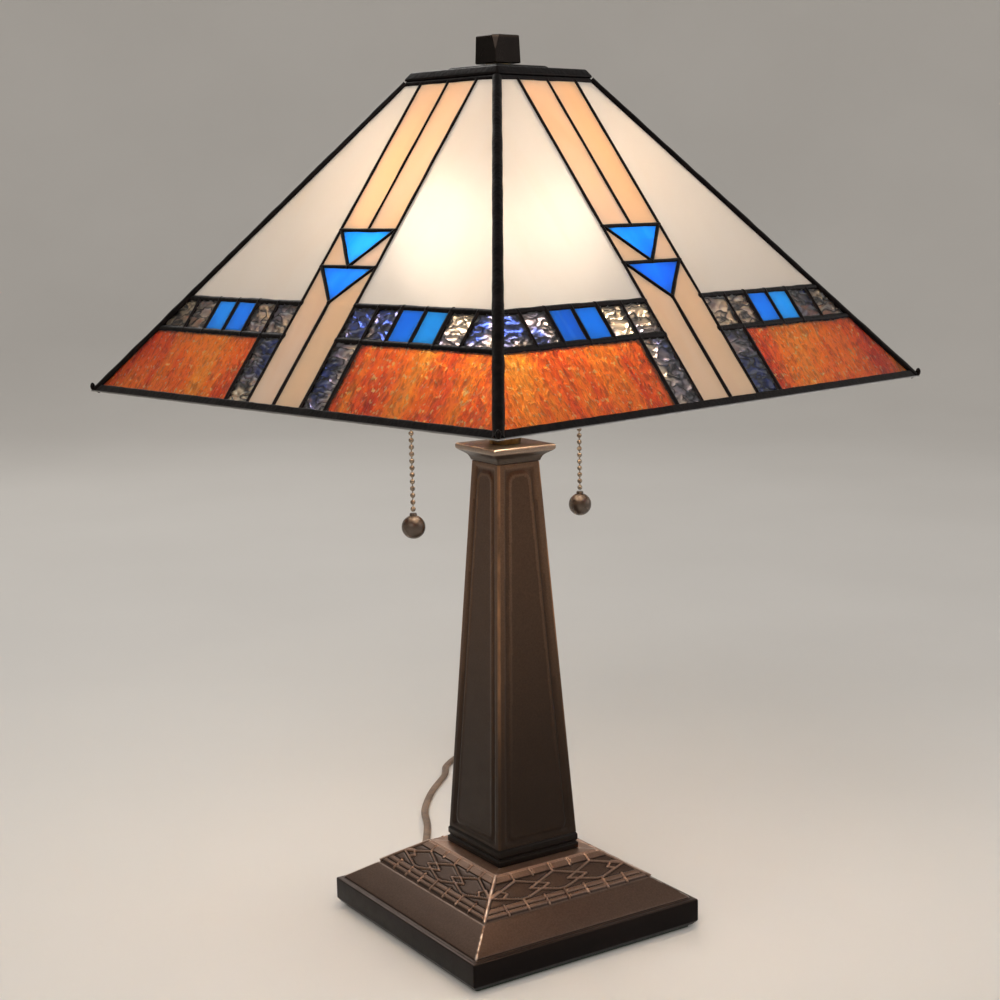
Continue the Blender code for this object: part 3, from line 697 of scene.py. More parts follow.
def make_base(finish):
    wall = PLINTH_HALF - 2 * BASE_WALL
    ceiling = BASE_TOP - BASE_WALL - 0.0015
    bore = PIPE_BORE + 0.0004
    top = filleted([(bore, BASE_TOP), (0.0374, BASE_TOP), (0.0380, BASE_TOP - 0.0007), PANEL_INNER], 0.0004)
    pattern = densified([PANEL_INNER, PANEL_OUTER], 0.00055)
    lower = filleted(
        [
            PANEL_OUTER,
            (PANEL_OUTER[0] + 0.0004, SLOPE_HEAD[1] + 0.0002),
            SLOPE_HEAD,
            SLOPE_FOOT,
            (SLOPE_FOOT[0] + 0.0002, PLINTH_TOP + 0.0001),
            (SLOPE_FOOT[0] + 0.0012, PLINTH_TOP - 0.0002),
            (PLINTH_HALF - 0.0016, PLINTH_TOP),
            (PLINTH_HALF, PLINTH_TOP - 0.0004),
            (PLINTH_HALF, PLINTH_BOTTOM + 0.0030),
            (PLINTH_HALF - 0.0026, PLINTH_BOTTOM),
            (wall, PLINTH_BOTTOM),
            (wall, PLINTH_TOP - BASE_WALL),
            (PANEL_INNER[0] - BASE_WALL, ceiling),
            (bore, ceiling),
        ],
        0.0007,
    )
    profile = np.concatenate([densified(top, 0.007), pattern[1:-1], densified(lower, 0.007)])
    square_piece(
        "base_casting_cast", profile, 0.0007, finish, "base", "base_bronze", "base_casting", sharp=50,
        across=190, relief=panel_height, wear=base_wear, edging=base_edging, closed=True,
    )


# Column panel: the sunk frame's ends and the raised field's ends
FRAME_ENDS = (0.0606, 0.2900)
FIELD_ENDS = (0.0636, 0.2862)


def panel_frame(u, half, z):
    """Sunk frame and raised field of one side of the column."""
    inset = np.minimum(half - 0.0034 - np.abs(u), np.minimum(z - FRAME_ENDS[0], FRAME_ENDS[1] - z))
    radius = np.where(z > 0.17, 0.0052, 0.0036)
    over_u = np.abs(u) - (half - 0.0074 - radius)
    over_z = np.abs(z - (FIELD_ENDS[1] + FIELD_ENDS[0]) / 2) - ((FIELD_ENDS[1] - FIELD_ENDS[0]) / 2 - radius)
    outside = np.hypot(np.maximum(over_u, 0), np.maximum(over_z, 0))
    field = radius - outside - np.minimum(np.maximum(over_u, over_z), 0)
    sunk = -0.0011 * smoothstep(0.0, 0.0007, inset)
    raised = 0.0010 * smoothstep(-0.0028, 0.0004, field) - 0.00025 * smoothstep(0.0004, 0.0020, field)
    return np.where(inset > 0, sunk + raised, 0.0)


def column_wear(u, half, z):
    # Painted highlight on the raised field's bevel.
    field_edge = np.abs(panel_frame(u, half, z) + 0.0001) < 0.00022
    # Painted lamp light: the column lighter towards the top, under the lit shade.
    high = smoothstep(0.07, 0.28, z)
    return 0.07 + high * (0.36 + 0.30 * field_edge)


def column_edging(z):
    # Painted highlight on the column's corners, fading out towards the bottom.
    return 0.05 + 0.95 * smoothstep(0.09, 0.22, z)


def cap_wear(u, half, z):
    return 0.20 + (half > CAP_HALF - 0.0010) * 0.70


# Mouldings as (in from the half width, down from the top)
FOOT_STEPS = ((0.0009, 0.0004), (0.0003, 0.0012), (0.0003, 0.0046), (0.0011, 0.0054), (0.0011, 0.0061),
              (0, 0.0067))
CAP_STEPS = ((0.0008, 0), (0, 0.0008), (0.0001, 0.0030), (0.0012, 0.0040))
NECK_STEPS = ((-0.0042, 0.0052), (-0.0020, 0.0068), (-0.0009, 0.0088))


def stepped(half, top, steps):
    return [(half - inward, top - down) for inward, down in steps]


def make_column(dark, capital):
    foot = [(COLUMN_FOOT_HALF - COLUMN_WALL, FOOT_TOP), (COLUMN_FOOT_HALF - 0.0002, FOOT_TOP)]
    foot += stepped(FOOT_HALF, FOOT_TOP, FOOT_STEPS)
    foot += [(FOOT_HALF, BASE_TOP + GAP), (COLUMN_FOOT_HALF - COLUMN_WALL, BASE_TOP + GAP)]
    square_piece(
        "column_foot_cast", filleted(foot, 0.0005), 0.0009, dark, "base", "column_bronze", "column_foot",
        across=3, edging=np.zeros_like, closed=True,
    )

    outer = densified([(COLUMN_NECK_HALF, COLUMN_TOP), (COLUMN_FOOT_HALF, COLUMN_BOTTOM)], 0.0012)
    wall = COLUMN_WALL
    bore = [(COLUMN_FOOT_HALF - wall, COLUMN_BOTTOM), (COLUMN_NECK_HALF - wall, COLUMN_TOP)]
    profile = np.concatenate([outer, densified(bore, 0.03)])
    square_piece(
        "column_shaft_cast", profile, 0.0011, dark, "base", "column_bronze", "column_shaft", sharp=60,
        across=64, relief=panel_frame, wear=column_wear, edging=column_edging, closed=True,
    )

    cap = [(PIPE_BORE, CAP_TOP), *stepped(CAP_HALF, CAP_TOP, CAP_STEPS)]
    cap += stepped(COLUMN_NECK_HALF, CAP_TOP, NECK_STEPS)
    cap += [(COLUMN_NECK_HALF + 0.0005, COLUMN_TOP + GAP), (PIPE_BORE, COLUMN_TOP + GAP)]
    square_piece(
        "column_cap_cast", filleted(cap, 0.0012, 4), 0.0010, capital, "base", "column_bronze", "column_cap",
        across=3, wear=cap_wear, edging=np.zeros_like, closed=True,
    )

    pad = [(0.001, FELT_TOP), (FELT_HALF, FELT_TOP), (FELT_HALF, 0.0), (0.001, 0.0)]
    square_piece("felt_sheet", filleted(pad, 0.0003), 0.0020, felt(), "base", "felt", "felt_pad", across=3)


# Shade

SLANT = math.hypot(RIM_HALF - CROWN_HALF, CROWN_Z - RIM_Z)
# Lead lines of a side: half widths out from its middle line, and heights up its slope
STRIP = 0.0236
HEIGHT_1 = 0.1208
HEIGHT_2 = 0.0960
APEX_2 = 0.0722
BAND_TOP = 0.0712
BAND_BOTTOM = 0.0490
BAND_LINES = (0.0434, 0.0622, 0.0813, 0.1002, 0.1198)
NARROW = 0.0438
GLASS_FOOT = 0.0030
GLASS_HEAD = SLANT - 0.0021
HIP_INSET = 0.0030
HEAD_LINE = SLANT - 0.0020
RIM_LIP = 0.0060


def face_frame(index):
    """Frame of one side of the shade: X along the rim, Y up the slope, Z outwards."""
    around = Matrix.Rotation(SHADE_TURN + index * math.pi / 2, 4, "Z")
    slope = Vector((0, RIM_HALF - CROWN_HALF, CROWN_Z - RIM_Z)).normalized()
    along = Vector((1, 0, 0))
    outward = along.cross(slope)
    place = Matrix((along, slope, outward)).transposed().to_4x4()
    place.translation = Vector((0, -RIM_HALF, RIM_Z)) - outward * (GLASS_SUNK + GLASS_THICK / 2)
    return around @ place


def hip_at(height):
    """Half the width of a side's glass at a height up its slope."""
    return RIM_HALF - height * (RIM_HALF - CROWN_HALF) / SLANT - HIP_INSET


def wave(points, frequency, seed, stretch=1.0):
    """Smooth repeatable noise at (u, v) points."""
    flat = points.reshape(-1, 2)
    made = [noise.noise(Vector((u * frequency, v * frequency * stretch, seed))) for u, v in flat]
    return np.array(made).reshape(points.shape[:-1])


def pane(shape, corners, seed, cell, relief):
    """One piece of glass over a four-cornered outline, its outer face shaped by relief(points, seed)."""
    corners = np.array(corners, float)
    lengths = np.linalg.norm(np.roll(corners, -1, 0) - corners, axis=1)
    columns, rows = (max(3, math.ceil(max(lengths[side::2]) / cell) + 1) for side in (0, 1))
    s, t = np.meshgrid(np.linspace(0, 1, columns), np.linspace(0, 1, rows))
    s, t = s[..., None], t[..., None]
    front, back = ((1 - s) * corners[a] + s * corners[b] for a, b in ((0, 1), (3, 2)))
    flat = (1 - t) * front + t * back
    thick = GLASS_THICK - 2 * GAP
    top = thick / 2 + relief(flat, seed)
    count = rows * columns
    skin = grid_faces(rows, columns)
    index = np.arange(count).reshape(rows, columns)
    border = np.concatenate([index[0, :-1], index[:-1, -1], index[-1, :0:-1], index[:0:-1, 0]])
    following = np.roll(border, -1)
    sides = np.stack([border, following, following + count, border + count], 1)
    faces = np.concatenate([skin, skin + count, sides])
    layers = (top, 0 * top - thick / 2, 0 * top + seed * 0.37)
    outer, inner, place = (np.concatenate([flat, z[..., None]], -1).reshape(-1, 3) for z in layers)
    shape.add(np.concatenate([outer, inner]), faces, pane=np.concatenate([place, place]))


def rolled(points, seed):
    return 0.00010 * wave(points, 60, seed)


def hammered(points, seed):
    """Worm-like dimples."""
    return 0.00060 * under(0.0, 0.26, np.abs(wave(points, 165, seed, 1.15))) - 0.0003


def granular(points, seed):
    """Fine ripple drawn out along the streaks."""
    return 0.00034 * wave(points, 380, seed, 0.33) + 0.00010 * wave(points, 90, seed + 5, 0.5)


def mirrored(corners):
    return [(-u, v) for u, v in reversed(corners)]


SLIVER = 0.0004
TRIANGLE_HALF = STRIP - 0.0012


def upright(left, right, low, high):
    """Corners of a pane whose left edge is upright; its right edge is too, or follows the hip."""
    ends = (right(low), right(high)) if callable(right) else (right, right)
    return [(left, low), (ends[0], low), (ends[1], high), (left, high)]


def triangle(apex, head):
    return [(-SLIVER, apex), (SLIVER, apex), (TRIANGLE_HALF, head), (-TRIANGLE_HALF, head)]


def face_panes():
    """Glass pieces of one side as (kind, corners), with the right half mirrored to the left."""
    flank = HEIGHT_1 - 0.0008
    centred = [("blue", triangle(HEIGHT_2 + 0.0010, HEIGHT_1)), ("blue", triangle(APEX_2, HEIGHT_2))]
    half = [
        ("beige", upright(0, STRIP, HEIGHT_1, GLASS_HEAD)),
        ("beige", [(SLIVER, HEIGHT_2), (STRIP, HEIGHT_2), (STRIP, flank), (STRIP - SLIVER, flank)]),
        ("beige", [(0, GLASS_FOOT), (STRIP, GLASS_FOOT), (STRIP, HEIGHT_2 - 0.0010), (0, APEX_2)]),
        ("cream", upright(STRIP, hip_at, BAND_TOP, GLASS_HEAD)),
        ("hammered", upright(STRIP, NARROW, GLASS_FOOT, BAND_BOTTOM)),
        ("amber", upright(NARROW, hip_at, GLASS_FOOT, BAND_BOTTOM)),
    ]
    edges = (STRIP, *BAND_LINES, hip_at)
    kinds = ("hammered", "hammered", "blue", "blue", "hammered", "hammered")
    for kind, left, right in zip(kinds, edges, edges[1:]):
        half.append((kind, upright(left, right, BAND_BOTTOM, BAND_TOP)))
    return centred + half + [(kind, mirrored(corners)) for kind, corners in half]


def face_lines():
    """Lead lines of one side as (start, end, width)."""
    fine, medium, heavy = 0.0026, 0.0031, 0.0042
    lines = [
        ((0, GLASS_HEAD), (0, HEIGHT_1), fine),
        ((-STRIP, HEIGHT_1), (STRIP, HEIGHT_1), medium),
        ((-STRIP, HEIGHT_2), (STRIP, HEIGHT_2), medium),
        ((0, APEX_2), (0, GLASS_FOOT), 0.0038),
        ((-hip_at(HEAD_LINE), HEAD_LINE), (hip_at(HEAD_LINE), HEAD_LINE), 0.0048),
    ]
    for side in (-1, 1):
        lines += [
            ((side * STRIP, GLASS_HEAD), (side * STRIP, GLASS_FOOT), 0.0030),
            ((side * (STRIP - 0.0006), HEIGHT_1), (0, HEIGHT_2), 0.0030),
            ((side * (STRIP - 0.0006), HEIGHT_2), (0, APEX_2), medium),
            ((side * STRIP, BAND_TOP), (side * hip_at(BAND_TOP), BAND_TOP), heavy),
            ((side * STRIP, BAND_BOTTOM), (side * hip_at(BAND_BOTTOM), BAND_BOTTOM), 0.0047),
            ((side * NARROW, BAND_BOTTOM), (side * NARROW, GLASS_FOOT), 0.0043),
        ]
        widths = (0.0032, 0.0044, 0.0040, 0.0044, 0.0035)
        for place, width in zip(BAND_LINES, widths):
            lines.append(((side * place, BAND_TOP), (side * place, BAND_BOTTOM), width))
    return lines


SOLDER_STEP = 0.0022
CAME_THICK = GLASS_THICK + 0.0012


def solder_line(shape, start, end, width, seed):
    """Came between two (u, v) points, a little uneven as solder runs are."""
    start, end = np.array(start, float), np.array(end, float)
    length = np.linalg.norm(end - start)
    count = max(4, math.ceil(length / SOLDER_STEP))
    along = np.linspace(0, 1, count)
    lumps = ripple(along * length, 130, seed * 3.1, 0.5)
    drift = ripple(along * length, 55, seed * 1.7, 8.5)
    crosswise = np.array([end[1] - start[1], start[0] - end[0]]) / length
    flat = start + (end - start) * along[:, None] + crosswise * (drift * 0.00022)[:, None]
    centres = np.concatenate([flat, np.zeros((count, 1))], 1)
    height = CAME_THICK * (1 + 0.07 * drift)
    tube(shape, centres, [*crosswise, 0.0], width * (1 + 0.16 * lumps), height)


def blob(shape, centre, radius, height, seed, **values):
    """Flattened drop of solder."""
    ball = bmesh.new()
    bmesh.ops.create_icosphere(ball, subdivisions=2, radius=1.0)
    points = np.array([v.co for v in ball.verts])
    faces = [[v.index for v in face.verts] for face in ball.faces]
    ball.free()
    lump = np.array([1 + 0.08 * noise.noise(Vector(p * 1.3 + seed)) for p in points])
    points = points * lump[:, None] * np.array([radius, radius, height]) + np.array(centre)
    shape.add(points, faces, **values)


ROLLED_CELL = 0.0060
FINE_CELL = 0.0010

# Kind of pane: its relief's cell and function, its slot, and the CAD sheets that it lies in
PANE_KINDS = {
    "cream": (ROLLED_CELL, rolled, "opal_glass", ["upper"]),
    "beige": (ROLLED_CELL, rolled, "opal_glass", ["upper", "border", "lower"]),
    "blue": (ROLLED_CELL, rolled, "blue_glass", ["upper", "border"]),
    "hammered": (FINE_CELL, hammered, "blue_glass", ["border", "lower"]),
    "amber": (FINE_CELL, granular, "amber_glass", ["lower"]),
}


def make_face(index, name, glass, came):
    place = face_frame(index)
    shapes = {}
    for number, (kind, corners) in enumerate(face_panes()):
        cell, relief = PANE_KINDS[kind][:2]
        pane(shapes.setdefault(kind, Shape()), corners, 11 + index * 53 + number, cell, relief)
    for kind, shape in shapes.items():
        slot, sheets = PANE_KINDS[kind][2:]
        nodes = [f"{sheet}_glass_{name}" for sheet in sheets]
        shape.make(f"{kind}_panes_{name}", glass[kind], "shade", slot, nodes, sharp=80, place=place)

    shape = Shape()
    joints = set()
    for number, (start, end, width) in enumerate(face_lines()):
        solder_line(shape, start, end, width, index * 31 + number)
        ends = [(round(u, 4), round(v, 4), width) for u, v in (start, end)]
        joints |= {joint for joint in ends if GLASS_FOOT + width < joint[1] < GLASS_HEAD - width}
    for number, (u, v, width) in enumerate(sorted(joints)):
        blob(shape, (u, v, 0), width * 0.58, GLASS_THICK / 2 + 0.0008, index * 17 + number)
    shape.make(f"came_{name}", came, "shade", "lead_came", sharp=70, place=place)


def make_hips(came):
    rise = CROWN_Z - RIM_Z
    run = RIM_HALF - CROWN_HALF
    foot = Vector((RIM_HALF, RIM_HALF, RIM_Z))
    head = Vector((CROWN_HALF, CROWN_HALF, CROWN_Z))
    along = (head - foot).normalized()
    outward = (Vector((rise, 0, run)).normalized() + Vector((0, rise, run)).normalized()).normalized()
    inset = -outward * 0.0026
    share = np.linspace(0, 1, 130)
    for index, corner in enumerate(("rear_right", "rear_left", "front_left", "front_right")):
        around = Matrix.Rotation(SHADE_TURN + index * math.pi / 2, 3, "Z")
        start = np.array(around @ (foot + along * 0.0040 + inset))
        end = np.array(around @ (head - along * 0.0010 + inset))
        beads = ripple(share, 32, index * 4.2, 1.5)
        broad = ripple(share, 9, index * 2.9, 6.5)
        width = (0.0063 - 0.0009 * share) * (1 + 0.08 * beads + 0.05 * broad)
        sideways = around @ along.cross(outward)
        shape = Shape()
        centres = start + (end - start) * share[:, None]
        tube(shape, centres, sideways, width, 0.0050 * (1 + 0.10 * beads), sections=16)
        shape.make(f"hip_solder_{corner}", came, "shade", "lead_came", [f"hip_came_{corner}"], sharp=70)


def rim_unevenness(u, half, z):
    return 0.00012 * np.sin(u * 410) * np.cos(u * 173 + z * 90) - 0.00016


def make_rim(came):
    rise = CROWN_Z - RIM_Z
    run = RIM_HALF - CROWN_HALF
    length = math.hypot(run, rise)
    high = np.array([RIM_HALF - run / length * RIM_LIP, RIM_Z + rise / length * RIM_LIP])
    low = np.array([RIM_HALF, RIM_Z])
    inner_high = high - np.array([rise, run]) / length * RIM_WALL
    inner_low = np.array([inner_high[0] + 0.0010, RIM_Z])
    seam = inner_high + (0.001, 0)
    profile = densified(filleted([seam, high, low, inner_low, inner_high, seam], 0.0007), 0.0010)
    shape = Shape()
    swept_square(shape, profile, 0.0012, 90, 4, relief=rim_unevenness, closed=True)
    del shape.values["wear"], shape.values["edge"]
    shape.values["bare"] = [under(RIM_Z + 0.0003, RIM_Z + 0.0009, shape.points[0][:, 2])]
    ball = RIM_HALF - 0.0017
    for index, (x, y) in enumerate(((ball, ball), (-ball, ball), (-ball, -ball), (ball, -ball))):
        blob(shape, (x, y, RIM_Z + 0.0030), 0.0015, 0.0024, index + 3, bare=0.0)
    turned = Matrix.Rotation(SHADE_TURN, 4, "Z")
    shape.make("rim_channel", came, "shade", "lead_came", ["rim_came"], sharp=60, place=turned)


def make_crown(came):
    turned = Matrix.Rotation(SHADE_TURN, 4, "Z")
    plates = (("crown_plate", CROWN_PLATE, 0.0026), ("crown_cap", CROWN_CAP, 0.0012))
    for name, (half, low, high), lip in plates:
        outline = [(half - lip, high), (half, low + 0.0012), (half, low), (STUD_BORE, low)]
        profile = densified(filleted([(STUD_BORE, high), *outline], 0.0008), 0.004)
        square_piece(f"{name}_formed", profile, 0.0012, came, "shade", "lead_came", name, place=turned,
                     across=12, closed=True)


FINIAL_HALF = (0.0091, 0.0096)
FINIAL_CUT = 0.0030
FINIAL_CUT_DEPTH = 0.0090
FINIAL_EASE = 0.0005
FINIAL_BORE_DEPTH = 0.0128


def finial_ring(z, shrink=0.0):
    """Corners of the block at a height: a square, its front and rear corners cut, less so lower down."""
    down = FINIAL_TOP - z
    top, foot = FINIAL_HALF
    half = top + (foot - top) * down / (FINIAL_TOP - FINIAL_BOTTOM) - shrink
    cut = max(0.0003, FINIAL_CUT * (1 - down / FINIAL_CUT_DEPTH))
    front = [(-half, -half + cut), (-half + cut, -half), (half - 0.0003, -half), (half, -half + 0.0003)]
    return [(sign * x, sign * y, z) for sign in (1, -1) for x, y in front]


def make_finial(dark):
    """Square block, its front and rear edges cut away towards the top, on a blind bore."""
    low, high = FINIAL_BOTTOM + FINIAL_EASE, FINIAL_TOP - FINIAL_EASE
    rings = [finial_ring(FINIAL_TOP, FINIAL_EASE)]
    rings += [finial_ring(z) for z in np.linspace(high, low, 20)]
    rings.append(finial_ring(FINIAL_BOTTOM, FINIAL_EASE))
    angles = [math.atan2(y, x) for x, y, _ in finial_ring(FINIAL_BOTTOM)]
    for z in (FINIAL_BOTTOM, FINIAL_BOTTOM + FINIAL_BORE_DEPTH):
        rings.append([(STUD_BORE * math.cos(a), STUD_BORE * math.sin(a), z) for a in angles])
    rings = np.array(rings)
    lighter_share = 0.02 + 0.15 * smoothstep(FINIAL_TOP - 0.002, FINIAL_TOP, rings[..., 2])
    shape = Shape()
    shape.loft(rings, wear=lighter_share.ravel())
    place = Matrix.Rotation(FINIAL_TURN, 4, "Z")
    shape.make("finial_block", dark, "finial", "column_bronze", ["finial"], sharp=18, place=place)


# Sockets, bulbs and chains


def make_socket(name, side, finishes):
    tilt = Matrix.Rotation(side * SOCKET_TILT, 4, "Y")
    place = Matrix.Translation((side * SOCKET_REACH, 0, SOCKET_Z)) @ tilt
    brass, bulb = finishes["brass"], f"{name}_bulb"
    wall = SHELL_RADIUS - 0.0010
    cap = [
        (AXIS, 0.0), (0.0075, 0.0), (0.0095, 0.0014), (0.0150, 0.0052), (SHELL_RADIUS, 0.0100),
        (SHELL_RADIUS, SHELL_SEAM), (wall, SHELL_SEAM), (wall, 0.0106), (0.0138, 0.0062),
        (0.0088, 0.0030), (AXIS, 0.0022),
    ]
    turned_piece(f"{name}_socket_dome", filleted(cap, 0.0012), 40, place, brass, "base", "socket_brass",
                 f"{name}_socket_cap")
    bead = SHELL_RADIUS + 0.0006
    tube_wall = [(wall, SHELL_TOP), (bead, SHELL_TOP), (bead, SHELL_TOP - 0.0020)]
    tube_wall.append((SHELL_RADIUS, SHELL_TOP - 0.0028))
    for ring in range(3):
        z = 0.0280 - ring * 0.0034
        tube_wall += [(SHELL_RADIUS, z + 0.0009), (bead - 0.0002, z), (SHELL_RADIUS, z - 0.0009)]
    tube_wall += [(SHELL_RADIUS, SHELL_SEAM + GAP), (wall, SHELL_SEAM + GAP)]
    turned_piece(f"{name}_socket_tube", filleted(tube_wall, 0.0006), 40, place, brass, "base",
                 "socket_brass", f"{name}_socket_shell", closed=True)

    glass_neck = BULB_SCREW_TOP + GAP
    crown = np.linspace(math.radians(90), math.radians(-38), 22)
    glass = round_profile(BULB_RADIUS, BULB_CENTRE, crown)
    glass += [(0.0190, 0.0760), (0.0152, 0.0680), (0.0136, 0.0610), (0.0128, glass_neck)]
    glass.append((AXIS, glass_neck))
    turned_piece(f"{name}_bulb_envelope", filleted(glass, 0.0030, 3), 48, place, finishes["bulb"], bulb,
                 "bulb_glass", f"{name}_bulb_glass")

    threads = [(AXIS, BULB_SCREW_TOP), (0.0128, BULB_SCREW_TOP)]
    for turn in range(6):
        z = 0.0535 - turn * 0.0031
        threads += [(0.0130, z), (0.0119, z - 0.0015)]
    threads += [(0.0130, 0.0345), (0.0105, 0.0305), (0.0050, 0.0290), (0.0048, 0.0285), (AXIS, 0.0285)]
    turned_piece(f"{name}_bulb_screw", filleted(threads, 0.0006), 36, place, finishes["steel"], bulb,
                 "bulb_metal", f"{name}_bulb_base")


BEAD_PITCH = 0.00408
BEAD_RADIUS = 0.00158
LINK_RADIUS = 0.00042


def round_profile(radius, centre, angles):
    """(radius, z) points of a ball, kept just off the axis."""
    return [(max(AXIS, radius * math.cos(a)), centre + radius * math.sin(a)) for a in angles]


def bead_run(shape, centre, top, bottom):
    """Ball chain between two heights: beads on short links."""
    count = max(1, round((top - bottom) / BEAD_PITCH))
    pitch = (top - bottom) / count
    reach = math.sqrt(BEAD_RADIUS**2 - LINK_RADIUS**2)
    pole = math.atan2(reach, LINK_RADIUS)
    bead = round_profile(BEAD_RADIUS, 0.0, np.linspace(pole, -pole, 11))
    link_low, link_high = -pitch + reach * 0.95, -reach * 0.95
    middle = (LINK_RADIUS * 0.8, (link_low + link_high) / 2)
    link = [(LINK_RADIUS, link_high), middle, (LINK_RADIUS, link_low)]
    for index in range(count):
        place = Matrix.Translation((*centre, top - (index + 0.5) * pitch))
        lathe(shape, bead, 18, place)
        if index < count - 1:
            lathe(shape, link, 8, place)


def make_chain(name, side, finishes):
    centre = (side * CHAIN_X, CHAIN_Y)
    chain = f"{name}_chain"
    knob_top = KNOB_Z + KNOB_RADIUS + 0.0012
    lead = f"{chain}_lead"
    runs = (
        (f"{chain}_beads_lead", lead, lead, (CHAIN_PIVOT_Z + 0.0180, CHAIN_PIVOT_Z + 0.0002)),
        (f"{chain}_beads", chain, f"{name}_pull_chain", (CHAIN_PIVOT_Z - 0.0006, knob_top + 0.0004)),
    )
    for piece, body, node, ends in runs:
        shape = Shape()
        bead_run(shape, centre, *ends)
        shape.make(piece, finishes["chain"], body, "chain_brass", [node])
    arc = np.linspace(math.radians(72), math.radians(-90), 26)
    profile = [(0.0003, knob_top), (0.0019, knob_top), (0.0022, knob_top - 0.0005)]
    profile += round_profile(KNOB_RADIUS, KNOB_Z, arc)
    turned_piece(f"{chain}_ball", profile, 40, Matrix.Translation((*centre, 0)), finishes["ball"], chain,
                 "chain_knob_bronze", f"{chain}_knob")


# Cord and plug

COIL_BED = 0.0006
COIL_COLUMNS = 3
COIL_PITCH = 0.0056
COIL_LAYER = 0.0030
COIL_ORDER = (2, 1, 0, 0, 1, 2, 2, 1, 0)
TIE_ANGLE = math.radians(-30)


def plug_frame():
    far = Vector((math.cos(COIL_FAR), math.sin(COIL_FAR), 0))
    centre = Vector((*COIL_CENTRE, COIL_TOP + GAP + PLUG_HALF[2])) + far * COIL_RADIUS
    return Matrix.Translation(centre) @ Matrix.Rotation(COIL_FAR - math.pi / 2, 4, "Z")


def coil_route():
    """Turns of the coil, three side by side and three deep, ending in a rise to the plug's rear."""
    centre = np.array(COIL_CENTRE)
    arrival = np.array(CORD_ROUTE[-1][:2]) - centre
    start_angle = math.atan2(arrival[1], arrival[0])
    start_radius = float(np.linalg.norm(arrival))
    rear = plug_frame() @ Vector((-PLUG_HALF[0], 0, 0))
    rear_angle = math.atan2(rear.y - centre[1], rear.x - centre[0])
    rear_radius = math.hypot(rear.x - centre[0], rear.y - centre[1])
    whole = len(COIL_ORDER) - 1
    last = (start_angle - rear_angle) / (2 * math.pi)
    steps = 36
    points = []
    for step in range(1, round((whole + last) * steps)):
        turn = step / steps
        ring = min(int(turn), whole)
        following = min(ring + 1, whole)
        blend = float(smoothstep(0.72, 1.0, turn - ring))
        column = COIL_ORDER[ring] + (COIL_ORDER[following] - COIL_ORDER[ring]) * blend
        layer = ring // COIL_COLUMNS + (following // COIL_COLUMNS - ring // COIL_COLUMNS) * blend
        radius = COIL_RADIUS + (column - 1) * COIL_PITCH
        radius += (start_radius - radius) * float(under(0.0, 0.24, turn))
        height = CORD_REST_Z + COIL_BED * float(smoothstep(0.0, 0.3, turn)) + layer * COIL_LAYER
        rise = (turn - whole) / last
        height += (rear.z - height) * float(smoothstep(0.0, 0.8, rise))
        radius += (rear_radius - radius) * float(smoothstep(0.2, 1.0, rise))
        angle = start_angle - turn * 2 * math.pi
        x, y = centre[0] + radius * math.cos(angle), centre[1] + radius * math.sin(angle)
        points.append((x, y, height))
    return points + [tuple(rear)]


def make_cord(finishes):
    """The whole free lead, from the bushing's tip through the coil to the plug."""
    route = [tuple(point) for point in smooth_route(CORD_ROUTE, 0.0100)] + coil_route()
    centres = np.array(smooth_route(route, 0.0042))
    tangent = np.gradient(centres, axis=0)
    sideways = np.stack([tangent[:, 1], -tangent[:, 0], 0 * tangent[:, 0]], -1)
    shape = Shape()
    tube(shape, centres, sideways, CORD_WIDTH, CORD_THICK, sections=20, lobes=0.22)
    cord = shape.make("lamp_cord", finishes["cord"], "base", "cord_jacket", ["cord", "cord_coil"], sharp=60)
    plug = make_plug(finishes["plug"])
    blades = [make_blade(name, side, finishes["blade"]) for name, side in (("left", 1), ("right", -1))]
    relief = make_strain_relief(finishes["plug"])
    tie = make_tie(finishes["tie"])


def signed_power(value, power):
    return np.sign(value) * np.abs(value) ** power


def make_plug(finish):
    """Moulded plug: a waisted grip with four finger grooves."""
    long, wide, deep = PLUG_HALF
    stations = [
        (-long, 0.0040, 0.0026), (-long + 0.0010, 0.0052, 0.0034), (-long + 0.0035, 0.0060, 0.0040),
        (-long + 0.0060, 0.0078, 0.0048), (-long + 0.0090, 0.0090, 0.0052),
        (long - 0.0105, 0.0092, 0.0052), (long - 0.0065, 0.0095, 0.0055), (long - 0.0035, wide, deep),
        (long - 0.0008, wide, deep), (long, wide - 0.0008, deep - 0.0008),
    ]
    for groove in range(4):
        x = -0.0030 + groove * 0.0022
        stations += [(x - 0.0005, 0.0092, 0.0052), (x, 0.0087, 0.0047), (x + 0.0005, 0.0092, 0.0052)]
    stations.sort()
    angle = np.linspace(0, 2 * math.pi, 44, endpoint=False)
    y, z = signed_power(np.cos(angle), 0.36), signed_power(np.sin(angle), 0.36)
    shape = Shape()
    rings = [np.stack([0 * y + x, half_y * y, half_z * z], -1) for x, half_y, half_z in stations]
    shape.loft(np.array(rings))
    return shape.make("plug_moulding", finish, "base", "plug_plastic", ["plug_body"], 50, plug_frame())


